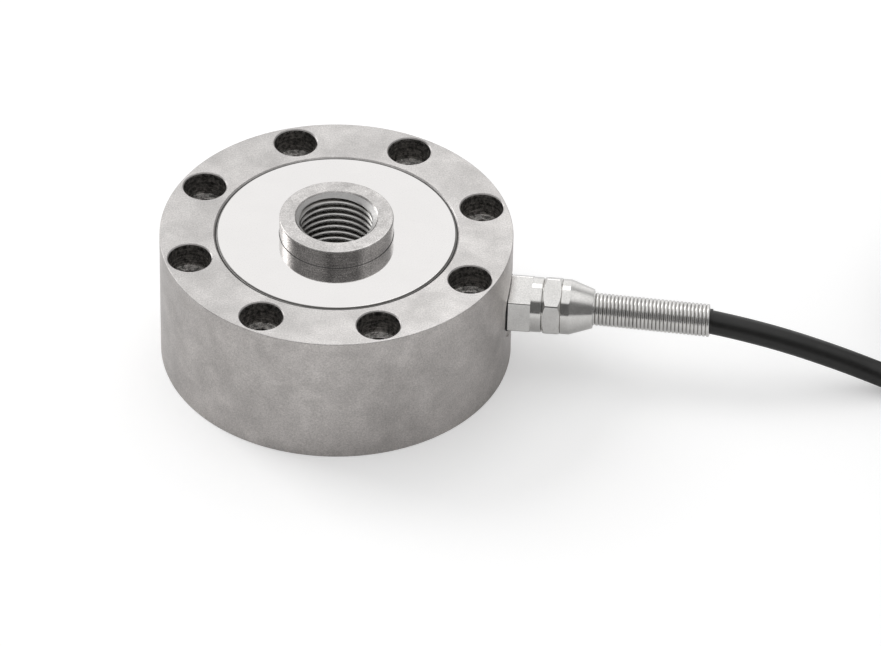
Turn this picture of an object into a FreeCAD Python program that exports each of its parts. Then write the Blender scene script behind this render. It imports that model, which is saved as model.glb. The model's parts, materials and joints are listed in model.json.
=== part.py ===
import FreeCAD
import Part
import math
import os
import re
import Sketcher
from FreeCAD import Rotation, Vector

# Low-profile compression force sensor: a one-piece spoked steel body closed by two thin covers,
# with a radial cable gland, a coil spring over the cable and a screened cable.
# Origin: on the body's axis in the mounting face. +Z: up, out of the loading hub. +X: along the gland.

# Driving sizes, all in millimetres, degrees or counts.
SIZES = [
    # outer ring of the sensing body
    ("body_radius", 35.0),
    ("body_height", 28.5),
    ("body_edge", 0.3),
    ("ring_inner_radius", 22.8),
    # hub that takes the load
    ("hub_radius", 11.3),
    ("hub_root_radius", 12.4),
    ("hub_rise", 4.0),
    ("hub_foot_clearance", 0.5),
    ("hub_edge", 0.15),
    ("thread_radius", 8.0),
    ("thread_mouth", 0.28),
    # spokes between hub and ring
    ("spoke_count", 4),
    ("spoke_width", 7.0),
    ("spoke_depth", 13.0),
    ("spoke_fillet", 2.0),
    # counterbored screw holes
    ("screw_count", 8),
    ("screw_circle_radius", 30.0),
    ("screw_hole_radius", 2.25),
    ("screw_head_radius", 4.0),
    ("screw_head_depth", 5.0),
    ("screw_mouth", 0.5),
    ("screw_foot_edge", 0.25),
    # covers and the sealant round them
    ("cover_thickness", 0.8),
    ("cover_radius", 23.65),
    ("cover_edge", 0.1),
    ("cover_hub_gap", 0.05),
    ("bottom_cover_depth", 0.6),
    ("recess_radius", 24.0),
    ("recess_edge", 0.35),
    ("sealant_depth", 0.3),
    ("sealant_dish", 0.08),
    # cable entry in the side of the ring
    ("cable_height", 14.1),
    ("spotface_radius", 6.9),
    ("spotface_depth", 0.6),
    ("entry_thread_radius", 4.0),
    ("entry_thread_depth", 7.2),
    ("thread_clearance", 0.04),
    ("cable_passage_radius", 2.6),
    # gland body
    ("gland_flats", 11.0),
    ("gland_foot_radius", 5.3),
    ("gland_foot_length", 0.4),
    ("gland_hex_length", 4.35),
    ("gland_turn", 22.7),
    ("gland_collar_radius", 5.5),
    ("gland_collar_length", 2.25),
    ("gland_collar_edge", 0.35),
    ("gland_male_radius", 4.7),
    ("gland_male_length", 3.2),
    ("chamber_radius", 3.5),
    ("chamber_depth", 6.0),
    # gland nut
    ("nut_gap", 0.1),
    ("nut_turn", 20.7),
    ("nut_hex_length", 3.55),
    ("nut_bevel", 0.1),
    ("nut_bevel_angle", 33.0),
    ("nut_band_radius", 5.5),
    ("nut_band_length", 1.75),
    ("nut_cone_length", 4.65),
    ("nut_nose_radius", 3.85),
    ("nut_nose_edge", 0.12),
    ("nut_web", 1.0),
    # O-ring, grommet and thrust ring
    ("oring_section_radius", 0.43),
    ("oring_groove_depth", 0.95),
    ("oring_groove_width", 1.0),
    ("grommet_length", 4.8),
    ("grommet_clearance", 0.05),
    ("seat_gap", 0.04),
    # strain relief spring
    ("spring_wire", 0.75),
    ("spring_radius", 3.3),
    ("spring_pitch", 0.76),
    ("spring_coils", 35),
    ("spring_insertion", 3.0),
    ("spring_seat_clearance", 0.15),
    ("spring_end_gap", 0.16),
    ("spring_flank", 0.2),
    ("spring_droop", 1.87),
    # cable and its cores
    ("cable_radius", 2.4),
    ("jacket_end", 19.5),
    ("core_radius", 0.55),
    ("core_circle_radius", 1.1),
    # terminal board
    ("board_width", 12.0),
    ("board_depth", 9.0),
    ("board_thickness", 1.0),
    ("pad_thickness", 0.8),
    ("pad_width", 6.0),
    ("resistor_length", 2.0),
    ("resistor_width", 1.25),
    ("resistor_thickness", 0.55),
    ("resistor_pitch", 3.2),
    ("pad_margin", 0.5),
    ("resistor_margin", 0.6),
    # strain gauges
    ("gauge_length", 5.0),
    ("gauge_end_clearance", 0.1),
    ("gauge_height", 4.0),
    ("gauge_thickness", 0.2),
    # ring of gauge wires that lies on the spokes
    ("wiring_radius", 0.6),
    # coil of spare cable
    ("coil_centre_x", 150.0),
    ("coil_centre_y", 23.0),
    ("coil_inner_radius", 19.0),
    ("coil_outer_radius", 38.6),
    ("coil_height", 19.4),
    ("coil_edge", 1.6),
    # free end of the cable
    ("tail_length", 20.0),
    ("sleeve_radius", 2.75),
    ("sleeve_length", 9.0),
    ("sleeve_overlap", 6.0),
    ("tail_chord", 27.5),
    ("lead_radius", 0.45),
    ("lead_pitch", 1.0),
    ("lead_reach", 20.0),
    ("lead_step", 2.0),
    ("lead_spread", 2.4),
    ("lead_lift", 0.5),
    # how far a cut runs past the solid that it opens
    ("overshoot", 1.0),
]

# Route of the free cable: points where its straight runs meet, from the spring's end to the coil.
# The first point is the centre of the spring's end and is worked out below.
CABLE_ROUTE = [
    (82.9, 0.0, 13.07),
    (93.8, 0.0, 8.9),
    (106.5, 0.1, 3.4),
    (118.5, -3.95, 2.4),
]

# An arc takes up this share of the shorter of its two runs.
ARC_SHARE = 0.45

# A flying lead runs straight for the first share of its reach and lands at the second,
# where it has the third share of its sideways spread.
STRAIGHT_SHARE = 0.25
LANDING_SHARE = 0.6
SPREAD_SHARE = 0.75

# The windows' corners are round as far as the gauge on a short spoke leaves room for them.
SPOKE_LENGTH = "( ring_inner_radius - hub_root_radius )"
WINDOW_FILLET = "min( spoke_fillet ; ( %s - gauge_length ) / 2 - gauge_end_clearance )" % SPOKE_LENGTH

PI = math.pi

doc = FreeCAD.newDocument("force_sensor")

sheet = doc.addObject("Spreadsheet::Sheet", "Sizes")
for row, (alias, value) in enumerate(SIZES, start=1):
    sheet.set("A%d" % row, alias)
    sheet.set("B%d" % row, str(value))
    sheet.setAlias("B%d" % row, alias)
doc.recompute()


def size(alias):
    """The value of one cell of the sheet."""
    return float(sheet.get(alias))


def worked_out(expression):
    """The number that an expression of sheet cells gives."""
    value = sheet.evalExpression(expression)
    return float(getattr(value, "Value", value))


def s(text):
    """An expression in which each plain alias names its cell of the sheet."""
    names = dict(SIZES)
    return re.sub("[a-z_]+", lambda word: "Sizes." + word[0] if word[0] in names else word[0], text)


nodes = []


def new_body(label):
    """A PartDesign body that is one node of the sensor."""
    body = doc.addObject("PartDesign::Body", label)
    body.Label = label
    nodes.append(body)
    return body


def origin_plane(body, role):
    return [item for item in body.Origin.OriginFeatures if item.Role == role][0]


def new_sketch(body, name, role, offset=None):
    """A sketch on one of the body's own planes, moved along the plane's normal by an expression."""
    sketch = body.newObject("Sketcher::SketchObject", name)
    sketch.AttachmentSupport = [(origin_plane(body, role), "")]
    sketch.MapMode = "FlatFace"
    if offset:
        sketch.setExpression(".AttachmentOffset.Base.z", s(offset))
    return sketch


def outline(body, name, role, corners, offset=None):
    """A closed sketch of straight lines whose corners are pairs of sheet expressions."""
    sketch = new_sketch(body, name, role, offset)
    pairs = [(s(across), s(along)) for across, along in corners]
    places = [Vector(worked_out(across), worked_out(along), 0) for across, along in pairs]
    count = len(places)
    for i in range(count):
        sketch.addGeometry(Part.LineSegment(places[i], places[(i + 1) % count]))
    for i in range(count):
        sketch.addConstraint(Sketcher.Constraint("Coincident", i, 2, (i + 1) % count, 1))
    for i in range(count):
        for kind, value, text in (("DistanceX", places[i].x, pairs[i][0]), ("DistanceY", places[i].y, pairs[i][1])):
            number = sketch.addConstraint(Sketcher.Constraint(kind, -1, 1, i, 1, value))
            sketch.setExpression("Constraints[%d]" % number, text)
    return sketch


def turned(body, name, corners, axis, kind="PartDesign::Revolution"):
    """A turned form, or a turned cut: the profile goes once round an axis of its own sketch."""
    sketch = outline(body, name + "_profile", "XZ_Plane", corners)
    feature = body.newObject(kind, name)
    feature.Profile = sketch
    feature.ReferenceAxis = (sketch, [axis])
    feature.Angle = 360
    doc.recompute()
    return feature


def hexagon(body, name, flats, turn, start, length):
    """A hexagonal bar along X, between two expressions of x."""
    corners = []
    for k in range(6):
        angle = "( %s + %d ) * 1deg" % (turn, 60 * k)
        corners.append(("%s / sqrt(3) * cos( %s )" % (flats, angle), "%s / sqrt(3) * sin( %s )" % (flats, angle)))
    sketch = outline(body, name + "_outline", "YZ_Plane", corners, offset=start)
    pad = body.newObject("PartDesign::Pad", name)
    pad.Profile = sketch
    pad.setExpression("Length", s(length))
    doc.recompute()
    return pad


def round_axis(body, feature, count, name):
    """Copies of one feature, evenly spaced round the body's Z axis."""
    pattern = body.newObject("PartDesign::PolarPattern", name)
    pattern.Originals = [feature]
    pattern.Axis = (origin_plane(body, "Z_Axis"), [""])
    pattern.Angle = 360
    pattern.setExpression("Occurrences", s(count))
    body.Tip = pattern
    doc.recompute()
    return pattern


def make_sensing_body():
    """Ring, hub and spokes in one piece, with its screw holes and cable entry."""
    body = new_body("sensing_body")
    top = "body_height"
    hub_top = "body_height + hub_rise"
    top_ledge = "body_height - cover_thickness"
    low_ledge = "bottom_cover_depth + cover_thickness"
    web_low = "( body_height - spoke_depth ) / 2"
    web_high = "( body_height + spoke_depth ) / 2"
    turned(body, "blank", [
        ("thread_radius + thread_mouth", "hub_foot_clearance"),
        ("hub_radius", "hub_foot_clearance"),
        ("hub_radius", low_ledge),
        ("hub_root_radius", low_ledge),
        ("hub_root_radius", web_low),
        ("ring_inner_radius", web_low),
        ("ring_inner_radius", low_ledge),
        ("recess_radius", low_ledge),
        ("recess_radius", "recess_edge"),
        ("recess_radius + recess_edge", "0"),
        ("body_radius - body_edge", "0"),
        ("body_radius", "body_edge"),
        ("body_radius", "body_height - body_edge"),
        ("body_radius - body_edge", top),
        ("recess_radius + recess_edge", top),
        ("recess_radius", "body_height - recess_edge"),
        ("recess_radius", top_ledge),
        ("ring_inner_radius", top_ledge),
        ("ring_inner_radius", web_high),
        ("hub_root_radius", web_high),
        ("hub_root_radius", top_ledge),
        ("hub_radius", top_ledge),
        ("hub_radius", hub_top + " - hub_edge"),
        ("hub_radius - hub_edge", hub_top),
        ("thread_radius + thread_mouth", hub_top),
        ("thread_radius", hub_top + " - thread_mouth"),
        ("thread_radius", "hub_foot_clearance + thread_mouth"),
    ], "V_Axis")

    # windows between the spokes: the first one faces the cable entry
    sketch = new_sketch(body, "window_outline", "XY_Plane", web_low)
    half_width = size("spoke_width") / 2
    half_angle = PI / size("spoke_count")
    radii = (size("hub_root_radius"), size("ring_inner_radius"))
    along = Vector(math.cos(half_angle), math.sin(half_angle), 0)
    across = Vector(math.sin(half_angle), -math.cos(half_angle), 0)
    upper = [along * math.sqrt(radius ** 2 - half_width ** 2) + across * half_width for radius in radii]
    lower = [Vector(point.x, -point.y, 0) for point in upper]
    circle = [Part.Circle(Vector(0, 0, 0), Vector(0, 0, 1), radius) for radius in radii]
    spans = [math.atan2(point.y, point.x) for point in upper]
    inner_arc = sketch.addGeometry(Part.ArcOfCircle(circle[0], -spans[0], spans[0]))
    outer_arc = sketch.addGeometry(Part.ArcOfCircle(circle[1], -spans[1], spans[1]))
    upper_side = sketch.addGeometry(Part.LineSegment(upper[0], upper[1]))
    lower_side = sketch.addGeometry(Part.LineSegment(lower[0], lower[1]))
    for arc, radius in ((inner_arc, "hub_root_radius"), (outer_arc, "ring_inner_radius")):
        sketch.addConstraint(Sketcher.Constraint("Coincident", arc, 3, -1, 1))
        number = sketch.addConstraint(Sketcher.Constraint("Radius", arc, size(radius)))
        sketch.setExpression("Constraints[%d]" % number, s(radius))
        end = 1 if arc == inner_arc else 2
        sketch.addConstraint(Sketcher.Constraint("Coincident", arc, 2, upper_side, end))
        sketch.addConstraint(Sketcher.Constraint("Coincident", arc, 1, lower_side, end))
    for side, sign in ((upper_side, 1), (lower_side, -1)):
        number = sketch.addConstraint(Sketcher.Constraint("Angle", side, sign * half_angle))
        sketch.setExpression("Constraints[%d]" % number, s("%d * 180deg / spoke_count" % sign))
        number = sketch.addConstraint(Sketcher.Constraint("Distance", -1, 1, side, half_width))
        sketch.setExpression("Constraints[%d]" % number, s("spoke_width / 2"))
    window = body.newObject("PartDesign::Pocket", "window")
    window.Profile = sketch
    window.Reversed = True
    window.setExpression("Length", s("spoke_depth"))
    doc.recompute()
    windows = round_axis(body, window, "spoke_count", "windows")

    # the cutter leaves round corners in the windows
    tall = size("spoke_depth")
    corners = []
    for number, edge in enumerate(windows.Shape.Edges, start=1):
        ends = [vertex.Point for vertex in edge.Vertexes]
        upright = len(ends) == 2 and abs(edge.Length - tall) < 0.01 and abs(abs(ends[0].z - ends[1].z) - tall) < 0.01
        if upright:
            corners.append("Edge%d" % number)
    fillet = body.newObject("PartDesign::Fillet", "window_corners")
    fillet.Base = (windows, corners)
    fillet.setExpression("Radius", s(WINDOW_FILLET))
    doc.recompute()

    # one counterbored screw hole as a turned cut, half a pitch away from the gland, then its copies
    sketch = outline(body, "screw_hole_profile", "XZ_Plane", [
        ("0", "-overshoot"),
        ("screw_hole_radius + screw_foot_edge", "-overshoot"),
        ("screw_hole_radius + screw_foot_edge", "0"),
        ("screw_hole_radius", "screw_foot_edge"),
        ("screw_hole_radius", "body_height - screw_head_depth"),
        ("screw_head_radius", "body_height - screw_head_depth"),
        ("screw_head_radius", "body_height - screw_mouth"),
        ("screw_head_radius + screw_mouth", "body_height"),
        ("screw_head_radius + screw_mouth", "body_height + overshoot"),
        ("0", "body_height + overshoot"),
    ])
    sketch.setExpression(".AttachmentOffset.Base.x", s("screw_circle_radius * cos(180deg / screw_count)"))
    sketch.setExpression(".AttachmentOffset.Base.z", s("screw_circle_radius * sin(180deg / screw_count)"))
    hole = body.newObject("PartDesign::Groove", "screw_hole")
    hole.Profile = sketch
    hole.ReferenceAxis = (sketch, ["V_Axis"])
    hole.Angle = 360
    doc.recompute()
    round_axis(body, hole, "screw_count", "screw_holes")

    # cable entry: spot face, O-ring groove, tapped part and cable passage
    face = "body_radius - spotface_depth"
    sketch = outline(body, "entry_profile", "XZ_Plane", [
        ("ring_inner_radius - overshoot", "0"),
        ("ring_inner_radius - overshoot", "cable_passage_radius"),
        (face + " - entry_thread_depth", "cable_passage_radius"),
        (face + " - entry_thread_depth", "entry_thread_radius"),
        (face + " - oring_groove_depth", "entry_thread_radius"),
        (face + " - oring_groove_depth", "entry_thread_radius + oring_groove_width"),
        (face, "entry_thread_radius + oring_groove_width"),
        (face, "spotface_radius"),
        ("body_radius + overshoot", "spotface_radius"),
        ("body_radius + overshoot", "0"),
    ])
    sketch.setExpression(".AttachmentOffset.Base.y", s("cable_height"))
    entry = body.newObject("PartDesign::Groove", "cable_entry")
    entry.Profile = sketch
    entry.ReferenceAxis = (sketch, ["H_Axis"])
    entry.Angle = 360
    doc.recompute()
    return body


def make_cover(label, face):
    """A thin annular cover between hub and ring; face is the height of its outer side."""
    body = new_body(label)
    upward = label.startswith("top")
    inside = face + (" - cover_thickness" if upward else " + cover_thickness")
    edge = face + (" - cover_edge" if upward else " + cover_edge")
    inner = "hub_radius + cover_hub_gap"
    turned(body, label + "_turned", [
        (inner, inside),
        ("cover_radius", inside),
        ("cover_radius", edge),
        ("cover_radius - cover_edge", face),
        (inner, face),
    ], "V_Axis")
    return body


def make_sealant(label, face):
    """The bead of sealant between a cover and the ring, dished along its middle."""
    body = new_body(label)
    upward = label.startswith("top")
    inside = face + (" - cover_thickness" if upward else " + cover_thickness")
    lip = face + (" - sealant_depth" if upward else " + sealant_depth")
    dish = lip + (" - sealant_dish" if upward else " + sealant_dish")
    turned(body, label + "_turned", [
        ("cover_radius", inside),
        ("recess_radius", inside),
        ("recess_radius", lip),
        ("( cover_radius + recess_radius ) / 2", dish),
        ("cover_radius", lip),
    ], "V_Axis")
    return body


# Places along the gland's axis, as expressions of x.
FOOT_START = "body_radius - spotface_depth"
HEX_START = FOOT_START + " + gland_foot_length"
HEX_END = HEX_START + " + gland_hex_length"
COLLAR_END = HEX_END + " + gland_collar_length"
MALE_END = COLLAR_END + " + gland_male_length"
NUT_START = COLLAR_END + " + nut_gap"
NUT_HEX_END = NUT_START + " + nut_hex_length"
BAND_END = NUT_HEX_END + " + nut_band_length"
NOSE_END = BAND_END + " + nut_cone_length"
SPRING_START = NOSE_END + " - spring_insertion"
WEB_END = SPRING_START + " - spring_end_gap"
WEB_START = WEB_END + " - nut_web"
CHAMBER_START = MALE_END + " - chamber_depth"
GROMMET_START = CHAMBER_START + " + grommet_clearance"
GROMMET_END = GROMMET_START + " + grommet_length"
THRUST_START = GROMMET_END + " + seat_gap"
THRUST_END = WEB_START + " - seat_gap"


def lift_to_axis(item):
    """Moves a piece that is turned about local X up to the height of the cable entry."""
    item.setExpression(".Placement.Base.z", s("cable_height"))


def make_gland_body():
    body = new_body("gland_body")
    hexagon(body, "gland_hex", "gland_flats", "gland_turn", HEX_START, "gland_hex_length")
    stub = "entry_thread_radius - thread_clearance"
    stub_start = FOOT_START + " - entry_thread_depth + seat_gap"
    turned(body, "gland_stub", [
        (stub_start, "cable_passage_radius"),
        (HEX_START, "cable_passage_radius"),
        (HEX_START, "gland_foot_radius"),
        (FOOT_START, "gland_foot_radius"),
        (FOOT_START, stub),
        (stub_start, stub),
    ], "H_Axis")
    turned(body, "gland_front", [
        (HEX_END, "cable_passage_radius"),
        (MALE_END, "cable_passage_radius"),
        (MALE_END, "gland_male_radius"),
        (COLLAR_END, "gland_male_radius"),
        (COLLAR_END, "gland_collar_radius - gland_collar_edge"),
        (COLLAR_END + " - gland_collar_edge", "gland_collar_radius"),
        (HEX_END, "gland_collar_radius"),
    ], "H_Axis")
    turned(body, "gland_bore", [
        (stub_start + " - overshoot", "0"),
        (stub_start + " - overshoot", "cable_passage_radius"),
        (CHAMBER_START, "cable_passage_radius"),
        (CHAMBER_START, "chamber_radius"),
        (MALE_END + " + overshoot", "chamber_radius"),
        (MALE_END + " + overshoot", "0"),
    ], "H_Axis", "PartDesign::Groove")
    lift_to_axis(body)
    return body


def make_gland_nut():
    body = new_body("gland_nut")
    hexagon(body, "nut_hex", "gland_flats", "nut_turn", NUT_START, "nut_hex_length")
    turned(body, "nut_front", [
        (NUT_HEX_END, "0"),
        (NUT_HEX_END, "nut_band_radius"),
        (BAND_END, "nut_band_radius"),
        (NOSE_END + " - nut_nose_edge", "nut_nose_radius + nut_nose_edge"),
        (NOSE_END, "nut_nose_radius"),
        (NOSE_END, "0"),
    ], "H_Axis")
    # bevels that round the hexagon's corners at both ends
    flat = "gland_flats / 2"
    outside = "gland_flats / 2 + overshoot"
    slope = "tan(nut_bevel_angle * 1deg)"
    turned(body, "nut_back_bevel", [
        (NUT_START, flat + " - nut_bevel"),
        (NUT_START + " + (overshoot + nut_bevel) * " + slope, outside),
        (NUT_START, outside),
    ], "H_Axis", "PartDesign::Groove")
    turned(body, "nut_front_bevel", [
        (NUT_HEX_END, flat),
        (NUT_HEX_END, outside),
        (NUT_HEX_END + " - overshoot * " + slope, outside),
    ], "H_Axis", "PartDesign::Groove")
    bore = "gland_male_radius + thread_clearance"
    seat = "spring_radius + spring_seat_clearance"
    turned(body, "nut_bore", [
        (NUT_START + " - overshoot", "0"),
        (NUT_START + " - overshoot", bore),
        (WEB_START, bore),
        (WEB_START, "cable_passage_radius"),
        (WEB_END, "cable_passage_radius"),
        (WEB_END, seat),
        (NOSE_END + " + overshoot", seat),
        (NOSE_END + " + overshoot", "0"),
    ], "H_Axis", "PartDesign::Groove")
    lift_to_axis(body)
    return body


def make_bush(label, start, end, inner, outer):
    """A plain round bush on the gland's axis."""
    body = new_body(label)
    turned(body, label + "_turned", [(start, inner), (end, inner), (end, outer), (start, outer)], "H_Axis")
    lift_to_axis(body)
    return body


def make_oring():
    ring = doc.addObject("Part::Torus", "gland_oring")
    ring.Label = "gland_oring"
    nodes.append(ring)
    ring.setExpression("Radius1", s("entry_thread_radius + oring_groove_width / 2"))
    ring.setExpression("Radius2", s("oring_section_radius"))
    ring.Placement = FreeCAD.Placement(Vector(0, 0, 0), Rotation(Vector(0, 1, 0), 90))
    ring.setExpression(".Placement.Base.x", s(FOOT_START + " - oring_groove_depth / 2"))
    ring.setExpression(".Placement.Base.z", s("cable_height"))
    return ring


def make_spring():
    """Close-wound coils, each one a turned bead, on an axis that droops from the nut's nose."""
    body = new_body("strain_relief_spring")
    inner = "spring_radius - spring_wire"
    root = "spring_radius - spring_wire / 2"
    coil = turned(body, "coil_bead", [
        ("0", inner),
        ("0", root),
        ("spring_flank", "spring_radius"),
        ("spring_pitch - spring_flank", "spring_radius"),
        ("spring_pitch", root),
        ("spring_pitch", inner),
    ], "H_Axis")
    row_of_coils = body.newObject("PartDesign::LinearPattern", "row_of_coils")
    row_of_coils.Originals = [coil]
    row_of_coils.Direction = (origin_plane(body, "X_Axis"), [""])
    row_of_coils.setExpression("Length", s("spring_pitch * (spring_coils - 1)"))
    row_of_coils.setExpression("Occurrences", s("spring_coils"))
    body.Tip = row_of_coils
    doc.recompute()
    droop = math.radians(size("spring_droop"))
    start = spring_point(-size("spring_insertion"))
    body.Placement = FreeCAD.Placement(start, Rotation(Vector(0, 1, 0), math.degrees(droop)))
    return body


def spring_point(distance):
    """A point on the spring's axis, at a distance past the nut's nose."""
    droop = math.radians(size("spring_droop"))
    nose = Vector(worked_out(s(NOSE_END)), 0, size("cable_height"))
    return nose + Vector(math.cos(droop), 0, -math.sin(droop)) * distance


def route_wire(points, name):
    """Straight runs joined by tangent arcs; each arc is as large as its two runs allow."""
    points = [Vector(*point) for point in points]
    edges = []
    radii = []
    start = points[0]
    for before, corner, after in zip(points, points[1:], points[2:]):
        back = (before - corner).normalize()
        ahead = (after - corner).normalize()
        half_turn = (PI - back.getAngle(ahead)) / 2
        setback = ARC_SHARE * min((before - corner).Length, (after - corner).Length)
        radius = setback / math.tan(half_turn)
        first = corner + back * setback
        last = corner + ahead * setback
        middle = corner + (back + ahead).normalize() * (radius / math.cos(half_turn) - radius)
        edges.append(Part.LineSegment(start, first).toShape())
        edges.append(Part.Arc(first, middle, last).toShape())
        radii.append(round(radius, 1))
        start = last
    edges.append(Part.LineSegment(start, points[-1]).toShape())
    wire = Part.Wire(edges)
    print(name, "length", round(wire.Length, 2), "bend radii", radii)
    return wire


def make_tube(label, points, radius):
    """A solid round cord along a route."""
    wire = route_wire(points, label)
    direction = Vector(*points[1]) - Vector(*points[0])
    section = Part.Wire([Part.Circle(Vector(*points[0]), direction, radius).toShape()])
    solid = wire.makePipeShell([section], True, False)
    expected = PI * radius ** 2 * wire.Length
    if abs(solid.Volume - expected) > 0.01 * expected:
        raise ValueError("%s: volume %.2f, section times length %.2f" % (label, solid.Volume, expected))
    tube = doc.addObject("Part::Feature", label)
    tube.Label = label
    tube.Shape = solid
    nodes.append(tube)
    return tube


def make_coil():
    """The outer shape of the coil of spare cable, lying flat."""
    body = new_body("cable_coil")
    turned(body, "coil_turned", [
        ("coil_inner_radius + coil_edge", "0"),
        ("coil_outer_radius - coil_edge", "0"),
        ("coil_outer_radius", "coil_edge"),
        ("coil_outer_radius", "coil_height - coil_edge"),
        ("coil_outer_radius - coil_edge", "coil_height"),
        ("coil_inner_radius + coil_edge", "coil_height"),
        ("coil_inner_radius", "coil_height - coil_edge"),
        ("coil_inner_radius", "coil_edge"),
    ], "V_Axis")
    body.setExpression(".Placement.Base.x", s("coil_centre_x"))
    body.setExpression(".Placement.Base.y", s("coil_centre_y"))
    return body


def new_box(label, length, width, height, place):
    """A box between expressions: length along X, width along Y, height along Z."""
    box = doc.addObject("Part::Box", label)
    box.Label = label
    nodes.append(box)
    for name, text in (("Length", length), ("Width", width), ("Height", height)):
        box.setExpression(name, s(text))
    for name, text in zip("xyz", place):
        box.setExpression(".Placement.Base." + name, s(text))
    return box


def make_board():
    """Terminal board on an adhesive pad against the hub, with its trimming resistors."""
    pad = doc.addObject("Part::Cut", "board_pad")
    pad.Label = "board_pad"
    block = doc.addObject("Part::Box", "pad_block")
    hub = doc.addObject("Part::Cylinder", "pad_hub")
    flat = "hub_root_radius + pad_thickness"
    base = "cable_height - board_depth / 2"
    block.setExpression("Length", s(flat))
    block.setExpression("Width", s("pad_width"))
    block.setExpression("Height", s("board_depth - 2 * pad_margin"))
    block.setExpression(".Placement.Base.y", s("0 - pad_width / 2"))
    block.setExpression(".Placement.Base.z", s(base + " + pad_margin"))
    hub.setExpression("Radius", s("hub_root_radius"))
    hub.setExpression("Height", s("body_height"))
    pad.Base = block
    pad.Tool = hub
    nodes.append(pad)
    new_box("terminal_board", "board_thickness", "board_width", "board_depth",
            (flat, "0 - board_width / 2", base))
    face = flat + " + board_thickness"
    for number in range(3):
        new_box("trim_resistor_%d" % (number + 1), "resistor_thickness", "resistor_length", "resistor_width",
                (face, "resistor_pitch * %d - resistor_length / 2" % (number - 1), base + " + resistor_margin"))


def make_cores():
    """Four cores from the end of the cable's jacket to the terminal board."""
    face = "hub_root_radius + pad_thickness + board_thickness"
    for number, colour in enumerate(("red", "black", "green", "white")):
        angle = "( %d ) * 1deg" % (45 + 90 * number)
        core = doc.addObject("Part::Cylinder", "core_" + colour)
        core.Label = "core_" + colour
        nodes.append(core)
        core.setExpression("Radius", s("core_radius"))
        core.setExpression("Height", s("jacket_end - ( %s )" % face))
        core.Placement = FreeCAD.Placement(Vector(0, 0, 0), Rotation(Vector(0, 1, 0), 90))
        core.setExpression(".Placement.Base.x", s(face))
        core.setExpression(".Placement.Base.y", s("core_circle_radius * cos( %s )" % angle))
        core.setExpression(".Placement.Base.z", s("cable_height + core_circle_radius * sin( %s )" % angle))


def make_gauges():
    """A shear gauge on each side of every spoke, halfway along it."""
    start = "hub_root_radius + ( %s - gauge_length ) / 2" % SPOKE_LENGTH
    count = int(size("spoke_count"))
    number = 0
    for spoke in range(count):
        angle = 180.0 / count * (2 * spoke + 1)
        turn = Rotation(Vector(0, 0, 1), angle)
        for side in (-1, 1):
            number += 1
            gauge = doc.addObject("Part::Box", "strain_gauge_%d" % number)
            gauge.Label = "strain_gauge_%d" % number
            nodes.append(gauge)
            gauge.setExpression("Length", s("gauge_length"))
            gauge.setExpression("Width", s("gauge_thickness"))
            gauge.setExpression("Height", s("gauge_height"))
            offset = size("spoke_width") / 2 if side > 0 else -size("spoke_width") / 2 - size("gauge_thickness")
            corner = Vector(worked_out(s(start)), offset, 0)
            low = Vector(0, 0, (size("body_height") - size("gauge_height")) / 2)
            gauge.Placement = FreeCAD.Placement(turn.multVec(corner) + low, turn)


def make_wiring():
    """The bundle of gauge wires: a ring on top of the spokes and a drop to the terminal board."""
    wiring = doc.addObject("Part::Fuse", "gauge_wiring")
    wiring.Label = "gauge_wiring"
    ring = doc.addObject("Part::Torus", "wiring_ring")
    drop = doc.addObject("Part::Cylinder", "wiring_drop")
    height = "( body_height + spoke_depth ) / 2 + wiring_radius"
    board_top = "cable_height + board_depth / 2"
    board_middle = "hub_root_radius + pad_thickness + board_thickness / 2"
    ring.setExpression("Radius1", s(board_middle))
    ring.setExpression("Radius2", s("wiring_radius"))
    ring.setExpression(".Placement.Base.z", s(height))
    drop.setExpression("Radius", s("wiring_radius * 0.8"))
    drop.setExpression("Height", s(height + " - ( %s )" % board_top))
    drop.setExpression(".Placement.Base.x", s(board_middle))
    drop.setExpression(".Placement.Base.z", s(board_top))
    wiring.Base = ring
    wiring.Tool = drop
    nodes.append(wiring)


def make_free_end():
    """The cable's end on top of the coil: jacket, heat-shrink sleeve and five flying leads."""
    radius = size("cable_radius")
    ahead = Vector(-1, 0, 0)
    reach = size("tail_length") + size("sleeve_length") - size("sleeve_overlap") + size("lead_reach")
    middle = Vector(size("coil_centre_x"), size("coil_centre_y") + size("tail_chord"), size("coil_height"))
    start = middle - ahead * reach / 2 + Vector(0, 0, size("sleeve_radius"))
    jacket_end = start + ahead * size("tail_length")
    sleeve_end = jacket_end + ahead * (size("sleeve_length") - size("sleeve_overlap"))
    sleeve_start = sleeve_end - ahead * size("sleeve_length")
    tail = Part.makeCylinder(radius, size("tail_length"), start, ahead)
    outer = Part.makeCylinder(size("sleeve_radius"), size("sleeve_length"), sleeve_start, ahead)
    sleeve = outer.cut(Part.makeCylinder(radius, size("sleeve_overlap"), sleeve_start, ahead))
    for label, shape in (("cable_tail", tail), ("end_sleeve", sleeve)):
        item = doc.addObject("Part::Feature", label)
        item.Label = label
        item.Shape = shape
        nodes.append(item)
    lead = size("lead_radius")
    for number, colour in enumerate(("red", "black", "green", "white", "screen")):
        place = number - 2
        sideways = Vector(0, place * size("lead_spread"), 0)
        down = Vector(0, 0, middle.z + lead - sleeve_end.z)
        reach = ahead * (size("lead_reach") - (number % 2) * size("lead_step"))
        first = sleeve_end + Vector(0, place * size("lead_pitch"), 0)
        landing = sleeve_end + reach * LANDING_SHARE + sideways * SPREAD_SHARE + down
        landing.z += size("lead_lift")
        tip = sleeve_end + reach + sideways + down
        points = [first, first + reach * STRAIGHT_SHARE, landing, tip]
        make_tube("lead_" + colour, [tuple(point) for point in points], lead)


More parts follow.
